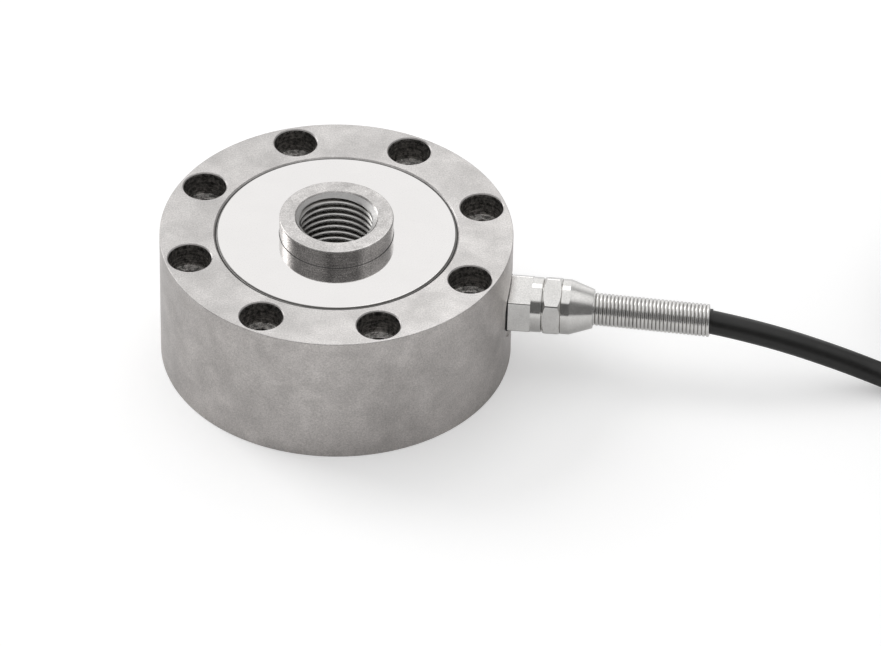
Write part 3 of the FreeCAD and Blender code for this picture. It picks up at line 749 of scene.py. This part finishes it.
def drawn_wire():
    """Bright spring wire with fine grain."""
    material, tree, shader = new_material("spring_steel", (0.74, 0.73, 0.71), 0.18, 1.0)
    spot = object_place(tree)
    tint(tree, shader, (0.76, 0.75, 0.735, 1), cloudy(tree, spot, 3 * MM, 0.9, 1.04))
    roughen(tree, shader, cloudy(tree, spot, 2 * MM, 0.14, 0.26))
    bump(tree, shader, grainy(tree, spot, 0.12 * MM), 0.002 * MM)
    return material


def plain(name, colour, roughness, metallic=0.0, grain_size=0.2 * MM, clouds=0.08, depth=0.004 * MM):
    """A moulded, turned or coated finish with soft clouds, fine grain and a slight bump."""
    material, tree, shader = new_material(name, colour, roughness, metallic)
    spot = object_place(tree)
    tint(tree, shader, (*colour, 1), cloudy(tree, spot, 20 * grain_size, 1 - clouds, 1 + clouds),
         grainy(tree, spot, grain_size, 1 - clouds, 1 + clouds))
    roughen(tree, shader, cloudy(tree, spot, 12 * grain_size, roughness - 0.05, roughness + 0.07))
    bump(tree, shader, grainy(tree, spot, grain_size), depth)
    return material


def make_materials():
    """One material for each of the record's slots."""
    return {
        "body_steel": body_steel(),
        "cover_steel": cover_steel(),
        "sealant": cured_sealant(),
        "gland_nickel": bright_nickel(),
        "seal_rubber": plain("seal_rubber", (0.02, 0.02, 0.02), 0.55),
        "thrust_brass": plain("thrust_brass", (0.78, 0.58, 0.28), 0.28, 1.0),
        "spring_steel": drawn_wire(),
        "cable_jacket": plain("cable_jacket", (0.010, 0.0095, 0.009), 0.36,
                              grain_size=0.15 * MM, clouds=0.14, depth=0.006 * MM),
        "sleeve_plastic": plain("sleeve_plastic", (0.015, 0.015, 0.015), 0.36, grain_size=0.25 * MM),
        "core_red": plain("core_red", (0.55, 0.02, 0.015), 0.34),
        "core_black": plain("core_black", (0.015, 0.015, 0.016), 0.34),
        "core_green": plain("core_green", (0.015, 0.26, 0.06), 0.34),
        "core_white": plain("core_white", (0.78, 0.78, 0.75), 0.34),
        "screen_braid": plain("screen_braid", (0.70, 0.68, 0.64), 0.3, 1.0,
                              grain_size=0.1 * MM, clouds=0.12),
        "adhesive_foam": plain("adhesive_foam", (0.74, 0.74, 0.70), 0.85,
                               grain_size=0.12 * MM, depth=0.02 * MM),
        "circuit_board": plain("circuit_board", (0.02, 0.20, 0.08), 0.32, grain_size=0.25 * MM),
        "resistor_body": plain("resistor_body", (0.03, 0.03, 0.035), 0.4),
        "gauge_foil": plain("gauge_foil", (0.62, 0.34, 0.08), 0.3),
        "wiring_plastic": plain("wiring_plastic", (0.50, 0.08, 0.03), 0.38,
                                grain_size=0.15 * MM, depth=0.02 * MM),
    }


def paint(item, *materials):
    item.data.materials.clear()
    for material in materials:
        item.data.materials.append(material)
    return item


# pieces

def finish_piece(item, slot, *replaced):
    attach(item, BODY)
    if replaced:
        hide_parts(*replaced)
    return item


def window_outline():
    """The gap between two spokes, seen from above, with round corners; it faces +X."""
    half_angle = math.pi / SPOKE_COUNT
    along = Vector((math.cos(half_angle), math.sin(half_angle)))
    across = Vector((math.sin(half_angle), -math.cos(half_angle)))
    half = SPOKE_WIDTH / 2
    points = []
    for radius, turn in ((HUB_ROOT_RADIUS, 1), (RING_INNER_RADIUS, -1)):
        corner = along * math.sqrt(radius ** 2 - half ** 2) + across * half
        reach = math.atan2(corner.y, corner.x)
        free = reach - 0.9 * SPOKE_FILLET / radius
        arc = [free * step / WINDOW_ARC_STEPS for step in range(-WINDOW_ARC_STEPS, WINDOW_ARC_STEPS + 1)]
        for angle in [-reach] + arc + [reach]:
            rounding = SPOKE_FILLET if abs(angle) == reach else 0
            points.append(around(radius, turn * angle, rounding))
    return rounded(points)


def make_sensing_body(steel, shaded_hole_steel):
    """Ring, hub and spokes, turned and then cut for screws, windows and the cable entry."""
    top_ledge = BODY_HEIGHT - COVER_THICKNESS
    low_ledge = UNDER_FACE + COVER_THICKNESS
    web_low = (BODY_HEIGHT - SPOKE_DEPTH) / 2
    web_high = (BODY_HEIGHT + SPOKE_DEPTH) / 2
    soft = BODY_SOFT_EDGE
    body = turned("sensing_body_metal", rounded([
        (BORE_RADIUS + BORE_MOUTH, HUB_FOOT, 0),
        (HUB_RADIUS, HUB_FOOT, soft),
        (HUB_RADIUS, low_ledge, 0),
        (HUB_ROOT_RADIUS, low_ledge, 0),
        (HUB_ROOT_RADIUS, web_low, 0),
        (RING_INNER_RADIUS, web_low, 0),
        (RING_INNER_RADIUS, low_ledge, 0),
        (RECESS_RADIUS, low_ledge, 0),
        (RECESS_RADIUS, RECESS_EDGE, soft),
        (RECESS_RADIUS + RECESS_EDGE, 0, soft),
        (BODY_RADIUS, 0, BODY_EDGE),
        (BODY_RADIUS, BODY_HEIGHT, BODY_EDGE),
        (RECESS_RADIUS + RECESS_EDGE, BODY_HEIGHT, RECESS_MOUTH_EDGE),
        (RECESS_RADIUS, BODY_HEIGHT - RECESS_EDGE, soft),
        (RECESS_RADIUS, top_ledge, 0),
        (RING_INNER_RADIUS, top_ledge, 0),
        (RING_INNER_RADIUS, web_high, 0),
        (HUB_ROOT_RADIUS, web_high, 0),
        (HUB_ROOT_RADIUS, top_ledge, 0),
        (HUB_RADIUS, top_ledge, 0),
        (HUB_RADIUS, HUB_TOP, HUB_EDGE),
        (BORE_RADIUS + BORE_MOUTH, HUB_TOP, soft),
        (BORE_RADIUS, HUB_TOP - BORE_MOUTH, 0),
        (BORE_RADIUS, HUB_FOOT + BORE_MOUTH, 0),
    ]))
    hole_profile = rounded([
        (0, -CUT_PAST, 0),
        (SCREW_HOLE_RADIUS + SCREW_FOOT_EDGE + CUT_PAST, -CUT_PAST, 0),
        (SCREW_HOLE_RADIUS, SCREW_FOOT_EDGE, 0),
        (SCREW_HOLE_RADIUS, SCREW_SEAT, SCREW_SEAT_EDGE),
        (SCREW_HEAD_RADIUS, SCREW_SEAT, SCREW_HEAD_CORNER),
        (SCREW_HEAD_RADIUS, BODY_HEIGHT - SCREW_FLARE_DEPTH, 0),
        (SCREW_HEAD_RADIUS + SCREW_FLARE, BODY_HEIGHT - SCREW_MOUTH + SCREW_FLARE, SCREW_FLARE_EDGE),
        (SCREW_HEAD_RADIUS + SCREW_MOUTH + CUT_PAST, BODY_HEIGHT + CUT_PAST, 0),
        (0, BODY_HEIGHT + CUT_PAST, 0),
    ])
    cutters = []
    for k in range(SCREW_COUNT):
        centre = around(SCREW_CIRCLE, 2 * math.pi * (k + 0.5) / SCREW_COUNT, 0)
        cutters.append(place(turned("screw_cut", hole_profile, SCREW_SEGMENTS), Matrix.Translation(centre)))
    for k in range(SPOKE_COUNT):
        window = prism("window_cut", window_outline(), web_low - CUT_PAST, web_high + CUT_PAST)
        cutters.append(place(window, Matrix.Rotation(2 * math.pi * k / SPOKE_COUNT, 4, "Z")))
    combine(body, joined("cutters", cutters), "DIFFERENCE")
    entry = turned("entry_cut", [
        (0, RING_INNER_RADIUS - CUT_PAST),
        (PASSAGE_RADIUS, RING_INNER_RADIUS - CUT_PAST),
        (PASSAGE_RADIUS, FOOT_START - ENTRY_DEPTH),
        (ENTRY_RADIUS, FOOT_START - ENTRY_DEPTH),
        (ENTRY_RADIUS, FOOT_START - ORING_GROOVE_DEPTH),
        (ENTRY_RADIUS + ORING_GROOVE_WIDTH, FOOT_START - ORING_GROOVE_DEPTH),
        (ENTRY_RADIUS + ORING_GROOVE_WIDTH, FOOT_START),
        (SPOTFACE_RADIUS, FOOT_START),
        (SPOTFACE_RADIUS, BODY_RADIUS + CUT_PAST),
        (0, BODY_RADIUS + CUT_PAST),
    ], BORE_SEGMENTS)
    combine(body, lay_along_gland(entry), "DIFFERENCE")
    smooth(paint_screw_holes(paint(body, steel, shaded_hole_steel)))
    return finish_piece(body, "body_steel", "sensing_body")


def paint_screw_holes(body):
    """Gives the faces in the screw holes the second material, with its painted shade and light, but not the
    ring's two end faces.
    """
    step = 2 * math.pi / SCREW_COUNT
    for polygon in body.data.polygons:
        spot = polygon.center
        angle = (round(math.atan2(spot.y, spot.x) / step - 0.5) + 0.5) * step
        centre = Vector(around(SCREW_CIRCLE, angle))
        in_hole = (spot.xy - centre).length < SCREW_HEAD_RADIUS + SCREW_FLARE
        below_ends = RING_END_SKIN < spot.z < BODY_HEIGHT - RING_END_SKIN
        polygon.material_index = 1 if in_hole and below_ends else 0
    return body


def thread_radius(height, turns_left, plain_radius):
    """The thread's radius at a height: the groove fades out at its upper end, and both mouths are opened."""
    fade = min(max(turns_left / THREAD_FADE, 0.0), 1.0)
    groove = THREAD_CREST_RADIUS + (plain_radius - THREAD_CREST_RADIUS) * fade
    upper = BORE_RADIUS - (HUB_TOP - BORE_MOUTH - height)
    lower = BORE_RADIUS - (height - HUB_FOOT - BORE_MOUTH)
    return max(groove, upper, lower)


def make_hub_thread(steel):
    """The cut thread that lines the hub's bore, as a thin closed sleeve."""
    crest, root = THREAD_CREST_RADIUS, THREAD_ROOT_RADIUS
    flank = (root - crest) * math.tan(THREAD_FLANK)
    flat = THREAD_PITCH / 4
    nick = THREAD_NICK
    shares = (0.35, 0.7, 1.0)
    ridge = [(0, crest + nick / 2), (nick, crest), (flat - nick, crest), (flat, crest + nick / 2)]
    ridge += [(flat + flank * share, crest + (root - crest) * share) for share in shares]
    ridge += [(THREAD_PITCH - flank * share, crest + (root - crest) * share) for share in reversed(shares)]
    low = HUB_FOOT + BORE_MOUTH
    high = HUB_TOP - BORE_MOUTH
    turns = math.ceil((high - low) / THREAD_PITCH) + 2
    form = bmesh.new()
    groove_end = (high - THREAD_COUNTERSINK - THREAD_FIRST_LAND - low) / THREAD_PITCH + 1
    columns = []
    for k in range(THREAD_STEPS + 1):
        angle = THREAD_START + 2 * math.pi * k / THREAD_STEPS
        column = []
        for turn in range(turns):
            for offset, radius in ridge:
                place_on_helix = turn + k / THREAD_STEPS
                height = min(max(low + (place_on_helix - 1) * THREAD_PITCH + offset, low), high)
                reach = thread_radius(height, groove_end - place_on_helix, radius)
                column.append(around(reach, angle, height))
        columns.append(column)
    skin = BORE_RADIUS + THREAD_SKIN
    verts = []
    for k, column in enumerate(columns):
        angle = THREAD_START + 2 * math.pi * k / THREAD_STEPS
        back = [around(skin, angle, height) for height in (high - THREAD_SKIN_INSET, low + THREAD_SKIN_INSET)]
        verts.append([form.verts.new(point) for point in column + back])
    count = len(verts[0])
    for k in range(THREAD_STEPS):
        for j in range(count):
            following = (j + 1) % count
            form.faces.new((verts[k][j], verts[k + 1][j], verts[k + 1][following], verts[k][following]))
    bmesh.ops.remove_doubles(form, verts=form.verts, dist=THREAD_WELD)
    bmesh.ops.dissolve_degenerate(form, edges=form.edges, dist=NEXT_TO_NOTHING)
    thread = smooth(paint(closed("hub_thread", form), steel))
    return finish_piece(thread, "body_steel")


def make_gland_body(nickel):
    """Hexagon, round collar and hollow male thread of the gland."""
    stub_start = FOOT_START - ENTRY_DEPTH + THREAD_CLEARANCE
    stub = ENTRY_RADIUS - THREAD_CLEARANCE
    soft = 0.08 * MM
    thread_end = 0.2 * MM
    gland = prism("gland_body_metal", hexagon(GLAND_FLATS, GLAND_TURN, HEX_CORNER), HEX_START, HEX_END)
    core = turned("gland_core", rounded([
        (0, stub_start, 0),
        (stub, stub_start, thread_end),
        (stub, FOOT_START, 0),
        (GLAND_FOOT_RADIUS, FOOT_START, 0),
        (GLAND_FOOT_RADIUS, HEX_START + soft, 0),
        (COLLAR_RADIUS - soft, HEX_START + soft, 0),
        (COLLAR_RADIUS - soft, HEX_END - soft, 0),
        (COLLAR_RADIUS, HEX_END - soft, 0),
        (COLLAR_RADIUS, COLLAR_END, COLLAR_EDGE),
        (MALE_RADIUS, COLLAR_END, 0),
        (MALE_RADIUS, MALE_END, thread_end),
        (0, MALE_END, 0),
    ]), GLAND_SEGMENTS)
    combine(gland, core, "UNION")
    chamber_start = MALE_END - CHAMBER_DEPTH
    bore = turned("gland_bore", [
        (0, stub_start - CUT_PAST),
        (PASSAGE_RADIUS, stub_start - CUT_PAST),
        (PASSAGE_RADIUS, chamber_start),
        (CHAMBER_RADIUS, chamber_start),
        (CHAMBER_RADIUS, MALE_END + CUT_PAST),
        (0, MALE_END + CUT_PAST),
    ], BORE_SEGMENTS)
    combine(gland, bore, "DIFFERENCE")
    smooth(paint(lay_along_gland(gland), nickel))
    return finish_piece(gland, "gland_nickel", "gland_body")


def make_seal_lip_with_gap_shade(rubber):
    """The black edge of the O-ring that shows between the hexagon and the spot face; it is made wide enough
    to stand in for the shade in that gap.
    """
    # the black lip is partly the O-ring and partly painted shade in the gap
    lip = turned("seal_lip", rounded([
        (GLAND_FOOT_RADIUS, FOOT_START, 0),
        (SEAL_LIP_RADIUS, FOOT_START, SEAL_LIP_EDGE),
        (SEAL_LIP_RADIUS, HEX_START, SEAL_LIP_EDGE),
        (GLAND_FOOT_RADIUS, HEX_START, 0),
    ]), BORE_SEGMENTS)
    smooth(paint(lay_along_gland(lip), rubber))
    return finish_piece(lip, "seal_rubber")


def make_top_cover(polished):
    """The annular sheet over the windows, with an outer edge that is rolled down to the sealant."""
    cover = turned("top_cover_sheet", rounded([
        (HUB_RADIUS + COVER_HUB_GAP, BODY_HEIGHT - COVER_THICKNESS, 0),
        (COVER_RADIUS, BODY_HEIGHT - COVER_THICKNESS, 0),
        (COVER_RADIUS, BODY_HEIGHT, COVER_EDGE),
        (HUB_RADIUS + COVER_HUB_GAP, BODY_HEIGHT, COVER_BORE_EDGE),
    ], 8))
    smooth(paint(cover, polished))
    return finish_piece(cover, "cover_steel", "top_cover")


def make_hub_bead_with_seam_shade(rubber):
    """The thin black seal between the top cover and the hub; its black also stands in for the shade in that
    seam.
    """
    # the black bead is partly a seal and partly painted shade in the seam
    bead = turned("hub_bead", rounded([
        (HUB_RADIUS, BODY_HEIGHT - HUB_BEAD_DEPTH, 0),
        (HUB_RADIUS + HUB_BEAD, BODY_HEIGHT - HUB_BEAD_DEPTH, 0),
        (HUB_RADIUS + HUB_BEAD, BODY_HEIGHT + HUB_BEAD_LIFT, 0),
        (HUB_RADIUS, BODY_HEIGHT + HUB_BEAD, 0),
    ]))
    smooth(paint(bead, rubber))
    return finish_piece(bead, "seal_rubber")


def make_gland_nut(nickel):
    """Hexagon with rounded corners, round band and cone of the clamping nut."""
    flat = GLAND_FLATS / 2
    reach = NUT_BARREL_RADIUS
    barrel = turned("nut_barrel", [
        (0, NUT_START),
        (flat - NUT_BEVEL, NUT_START),
        (reach, NUT_START + (reach - flat + NUT_BEVEL) * NUT_BEVEL_SLOPE),
        (reach, NUT_HEX_END - (reach - flat) * NUT_BEVEL_SLOPE),
        (flat, NUT_HEX_END),
        (0, NUT_HEX_END),
    ], NUT_SEGMENTS)
    outline = hexagon(GLAND_FLATS, NUT_TURN, NUT_CORNER)
    nut = prism("gland_nut_metal", outline, NUT_START - CUT_PAST, NUT_HEX_END + CUT_PAST)
    combine(nut, barrel, "INTERSECT")
    neck = BAND_RADIUS - NUT_NECK_STEP
    front = turned("nut_front", rounded([
        (0, NUT_HEX_END - NUT_NECK_DEPTH, 0),
        (neck, NUT_HEX_END - NUT_NECK_DEPTH, 0),
        (neck, NUT_HEX_END, 0),
        (BAND_RADIUS, NUT_HEX_END + BAND_BEVEL, BAND_BEVEL / 2),
        (BAND_RADIUS, BAND_END, BAND_EDGE),
        (NOSE_RADIUS, NOSE_END, NOSE_EDGE),
        (0, NOSE_END, 0),
    ]), NUT_SEGMENTS)
    combine(nut, front, "UNION")
    bore_radius = MALE_RADIUS + THREAD_CLEARANCE
    seat = SPRING_RADIUS + SPRING_SEAT_CLEARANCE
    bore = turned("nut_bore", [
        (0, NUT_START - CUT_PAST),
        (bore_radius, NUT_START - CUT_PAST),
        (bore_radius, SPRING_WEB_END - NUT_WEB),
        (PASSAGE_RADIUS, SPRING_WEB_END - NUT_WEB),
        (PASSAGE_RADIUS, SPRING_WEB_END),
        (seat, SPRING_WEB_END),
        (seat, NOSE_END + CUT_PAST),
        (0, NOSE_END + CUT_PAST),
    ], BORE_SEGMENTS)
    combine(nut, bore, "DIFFERENCE")
    smooth(paint(lay_along_gland(nut), nickel))
    return finish_piece(nut, "gland_nickel", "gland_nut")


def make_spring(wire_steel):
    """Close-wound round wire on the drooping axis, from inside the nut to the cable's exit."""
    upward = Vector((math.sin(SPRING_DROOP), 0, math.cos(SPRING_DROOP)))
    sideways = Vector((0, 1, 0))
    wire = SPRING_WIRE / 2
    mean = SPRING_RADIUS - wire
    turns = (SPRING_LENGTH - SPRING_WIRE) / SPRING_PITCH
    form = bmesh.new()
    rings = []
    for step in range(round(turns * SPRING_STEPS_PER_TURN) + 1):
        angle = 2 * math.pi * step / SPRING_STEPS_PER_TURN
        out = sideways * math.cos(angle) + upward * math.sin(angle)
        along = wire + SPRING_PITCH * step / SPRING_STEPS_PER_TURN
        centre = SPRING_START + SPRING_ALONG * along + out * mean
        ring = []
        for side in range(SPRING_SIDES):
            turn = 2 * math.pi * side / SPRING_SIDES
            offset = out * math.cos(turn) + SPRING_ALONG * math.sin(turn)
            ring.append(form.verts.new(centre + offset * wire))
        rings.append(ring)
    for here, there in zip(rings, rings[1:]):
        join_rings(form, here, there)
    form.faces.new(rings[0])
    form.faces.new(rings[-1])
    spring = smooth(paint(closed("relief_spring", form), wire_steel), SPRING_SHARP_ANGLE)
    return finish_piece(spring, "spring_steel", "strain_relief_spring")


def coil_points():
    """Control points of the spare cable's turns, wound inward in one layer and outward in the next.

    Near the end of each turn the cable shifts by one step, or climbs to the next layer.
    """
    points = []
    widen = 1 / math.cos(math.pi / COIL_POINTS_PER_TURN)
    wound = COIL_TURNS_PER_LAYER * COIL_LAYERS - 1 + COIL_LAST_SHARE
    for k in range(round(wound * COIL_POINTS_PER_TURN) + 1):
        place_in_coil = k / COIL_POINTS_PER_TURN
        turn = int(place_in_coil)
        layer, number = divmod(turn, COIL_TURNS_PER_LAYER)
        share = (place_in_coil - turn - (1 - COIL_SHIFT_SHARE)) / COIL_SHIFT_SHARE
        share = min(max(share, 0.0), 1.0)
        share = share * share * (3 - 2 * share)
        climbs = number == COIL_TURNS_PER_LAYER - 1
        inward = number if layer % 2 == 0 else COIL_TURNS_PER_LAYER - 1 - number
        direction = 1 if layer % 2 == 0 else -1
        shift = 0 if climbs else direction * share
        radius = (COIL_OUTER_TURN - (inward + shift) * COIL_STEP) * widen
        height = CABLE_RADIUS + (layer + (share if climbs else 0)) * COIL_RISE
        angle = COIL_START + 2 * math.pi * place_in_coil
        points.append(COIL_CENTRE + Vector(around(radius, angle, height)))
    return points


def in_metres(points):
    return [tuple(value * MM for value in point) for point in points]


def make_cable(materials):
    """The free cable: out of the spring, down to the floor, round the coil and up on to it."""
    start = CABLE_EXIT - SPRING_ALONG * CABLE_IN_SPRING
    tail = [(x, TAIL_Y, TAIL_Z) for x in TAIL_X]
    points = [start] + in_metres(CABLE_ROUTE) + coil_points() + in_metres(CABLE_CLIMB) + tail
    cable = curve("cable_sheath", points, CABLE_RADIUS, sides=7, smoothness=5)
    paint(cable, materials["cable_jacket"])
    finish_piece(cable, "cable_jacket", "cable", "cable_coil", "cable_tail")
    leads = [make_end_sleeve(materials["sleeve_plastic"])]
    for number, colour in enumerate(("red", "black", "green", "white", "screen")):
        leads += make_lead(number, colour, materials)
    return cable


def make_end_sleeve(plastic):
    """Heat-shrink sleeve over the jacket's end, drawn in over the leads."""
    jacket = CABLE_RADIUS + SLEEVE_GAP
    inner_end = JACKET_END_X - SLEEVE_GAP
    sleeve = turned("heat_shrink_sleeve", rounded([
        (jacket, SLEEVE_START_X, 0),
        (SLEEVE_RADIUS - SLEEVE_LIP, SLEEVE_START_X, SLEEVE_LIP_EDGE),
        (SLEEVE_RADIUS, SLEEVE_START_X - SLEEVE_SHOULDER, SLEEVE_BEND),
        (SLEEVE_RADIUS, JACKET_END_X, SLEEVE_BEND),
        (SLEEVE_RADIUS - SLEEVE_TAPER, SLEEVE_END_X + SLEEVE_NOSE, SLEEVE_TAPER_BEND),
        (SLEEVE_RADIUS - SLEEVE_END_TAPER, SLEEVE_END_X, SLEEVE_END_EDGE),
        (0, SLEEVE_END_X, 0),
        (0, inner_end, 0),
        (jacket, inner_end, 0),
    ]), SLEEVE_SEGMENTS)
    place(sleeve, Matrix.Translation((0, TAIL_Y, TAIL_Z)) @ Matrix.Rotation(math.pi / 2, 4, "Y"))
    smooth(paint(sleeve, plastic))
    return finish_piece(sleeve, "sleeve_plastic", "end_sleeve")


def make_lead(number, colour, materials):
    """One flying lead that leaves the sleeve along -X and fans out on the coil; a core's end is stripped."""
    place_in_row = number - 2
    reach = LEAD_REACH - (number % 2) * LEAD_STEP
    rest = COIL_TOP + LEAD_RADIUS
    route = [
        (SLEEVE_END_X, TAIL_Y + place_in_row * LEAD_PITCH, TAIL_Z),
        (SLEEVE_END_X - LEAD_STRAIGHT_SHARE * reach, TAIL_Y + place_in_row * LEAD_PITCH, TAIL_Z),
        (SLEEVE_END_X - LEAD_FAN_SHARE * reach, TAIL_Y + place_in_row * LEAD_FAN_SPREAD, rest + LEAD_LIFT),
        (SLEEVE_END_X - reach, TAIL_Y + place_in_row * LEAD_SPREAD, rest),
    ]
    braid = materials["screen_braid"]
    if colour == "screen":
        lead = paint(curve("lead_screen_braid", route, LEAD_RADIUS, sides=4), braid)
        return [finish_piece(lead, "screen_braid", "lead_screen")]
    slot = "core_" + colour
    lead = paint(curve("lead_%s_insulation" % colour, route, LEAD_RADIUS, sides=4), materials[slot])
    lead.data.bevel_factor_end = 1 - LEAD_BARE_SHARE
    strands = paint(curve("lead_%s_strands" % colour, route, LEAD_CORE_RADIUS, sides=3), braid)
    finish_piece(strands, "screen_braid")
    return [finish_piece(lead, slot, "lead_" + colour), strands]


# studio

def make_floor():
    """A wide white floor that is as bright as the backdrop but keeps the sensor's shadow."""
    mesh = bpy.data.meshes.new("studio_floor")
    corners = [(x * FLOOR_HALF, y * FLOOR_HALF, 0) for x, y in ((-1, -1), (1, -1), (1, 1), (-1, 1))]
    mesh.from_pydata(corners, [], [(0, 1, 2, 3)])
    floor = new_object("studio_floor", mesh)
    material = bpy.data.materials.new("studio_floor")
    material.use_nodes = True
    tree = material.node_tree
    tree.nodes.clear()
    matt = add(tree, "BsdfDiffuse", Color=(0.80, 0.80, 0.80, 1))
    light = add(tree, "Emission", Color=(1, 1, 1, 1))
    path = add(tree, "LightPath")
    mirrored = math_node(tree, "MAXIMUM", path.outputs["Is Glossy Ray"], path.outputs["Is Transmission Ray"])
    seen_lift = math_node(tree, "MULTIPLY", path.outputs["Is Camera Ray"], FLOOR_LIFT)
    mirrored_lift = math_node(tree, "MULTIPLY", mirrored, MIRRORED_FLOOR_LIFT)
    tree.links.new(math_node(tree, "MAXIMUM", seen_lift, mirrored_lift), light.inputs["Strength"])
    both = add(tree, "AddShader")
    tree.links.new(matt.outputs[0], both.inputs[0])
    tree.links.new(light.outputs[0], both.inputs[1])
    tree.links.new(both.outputs[0], add(tree, "OutputMaterial").inputs["Surface"])
    paint(floor, material)


def walled(tree, level, direction, azimuth, reach, softness, factor):
    """A level of light, multiplied by a factor where the direction lies within reach of an azimuth."""
    towards = add(tree, "VectorMath", operation="DOT_PRODUCT")
    tree.links.new(direction, towards.inputs[0])
    towards.inputs[1].default_value = around(1, math.radians(azimuth), 0)
    outside = math.cos(math.radians(reach + softness))
    inside = math.cos(math.radians(reach - softness))
    wall = ramp(tree, towards.outputs["Value"], outside, inside, 1.0, factor)
    return math_node(tree, "MULTIPLY", level, wall)


def make_world():
    """White backdrop; metal shows a white ceiling over walls that are dimmer or brighter by their azimuth."""
    world = bpy.data.worlds.new("studio")
    bpy.context.scene.world = world
    world.use_nodes = True
    tree = world.node_tree
    tree.nodes.clear()
    direction = add(tree, "TexCoord").outputs["Generated"]
    x, y, z = parts_of(tree, direction)
    level_way = add(tree, "CombineXYZ")
    tree.links.new(x, level_way.inputs[0])
    tree.links.new(y, level_way.inputs[1])
    compass = add(tree, "VectorMath", operation="NORMALIZE")
    tree.links.new(level_way.outputs[0], compass.inputs[0])
    walls = 1.0
    for wall in WALLS:
        walls = walled(tree, walls, compass.outputs[0], *wall)
    ceiling = ramp(tree, z, CEILING_START, CEILING_FULL)
    above_walls = math_node(tree, "MULTIPLY", ceiling, math_node(tree, "SUBTRACT", CEILING, walls))
    room = math_node(tree, "ADD", walls, above_walls)
    path = add(tree, "LightPath")
    seen = path.outputs["Is Camera Ray"]
    mirrored = math_node(tree, "MAXIMUM", path.outputs["Is Glossy Ray"], path.outputs["Is Transmission Ray"])
    strength = math_node(tree, "MAXIMUM", seen, math_node(tree, "MULTIPLY", mirrored, room))
    other = math_node(tree, "SUBTRACT", 1.0, math_node(tree, "MAXIMUM", seen, mirrored))
    strength = math_node(tree, "ADD", strength, math_node(tree, "MULTIPLY", other, WORLD_LIGHT))
    background = add(tree, "Background", Color=(1, 1, 1, 1))
    tree.links.new(strength, background.inputs["Strength"])
    tree.links.new(background.outputs[0], add(tree, "OutputWorld").inputs["Surface"])


def make_soft_box(name, position, width, power, shows):
    """A square lamp that points at the sensor; metal shows the box itself only where it is asked to."""
    data = bpy.data.lights.new(name, "AREA")
    data.shape = "SQUARE"
    data.size = width
    data.energy = power
    lamp = new_object(name, data)
    lamp.visible_glossy = shows
    lamp.location = position
    lamp.rotation_euler = (-Vector(position)).to_track_quat("-Z", "Y").to_euler()


def make_camera():
    """The photograph's camera, from its elevation, roll and turn round the body's axis."""
    data = bpy.data.cameras.new("camera")
    data.lens = CAMERA_LENS
    data.sensor_width = 36
    data.clip_start = 0.05
    data.clip_end = 50
    camera = new_object("camera", data)
    tilt = Matrix.Rotation(math.pi / 2 - CAMERA_ELEVATION, 4, "X")
    turn = Matrix.Rotation(CAMERA_TURN, 4, "Z")
    roll = Matrix.Rotation(CAMERA_ROLL, 4, "Z")
    camera.matrix_world = Matrix.Translation(CAMERA_PLACE) @ turn @ tilt @ roll
    bpy.context.scene.camera = camera


bpy.context.scene.view_settings.view_transform = "Standard"
make_camera()
materials = make_materials()
for subpart in frame["record"]["subparts"]:
    paint(NODES[subpart["node"]], materials[subpart["material_slot"]])
make_cable(materials)
make_sensing_body(materials["body_steel"], hole_steel_painted_shade())
make_hub_thread(thread_steel())
make_gland_body(materials["gland_nickel"])
make_seal_lip_with_gap_shade(materials["seal_rubber"])
make_top_cover(materials["cover_steel"])
make_hub_bead_with_seam_shade(materials["seal_rubber"])
make_gland_nut(materials["gland_nickel"])
make_spring(materials["spring_steel"])
make_floor()
make_world()
for soft_box in SOFT_BOXES:
    make_soft_box(*soft_box)
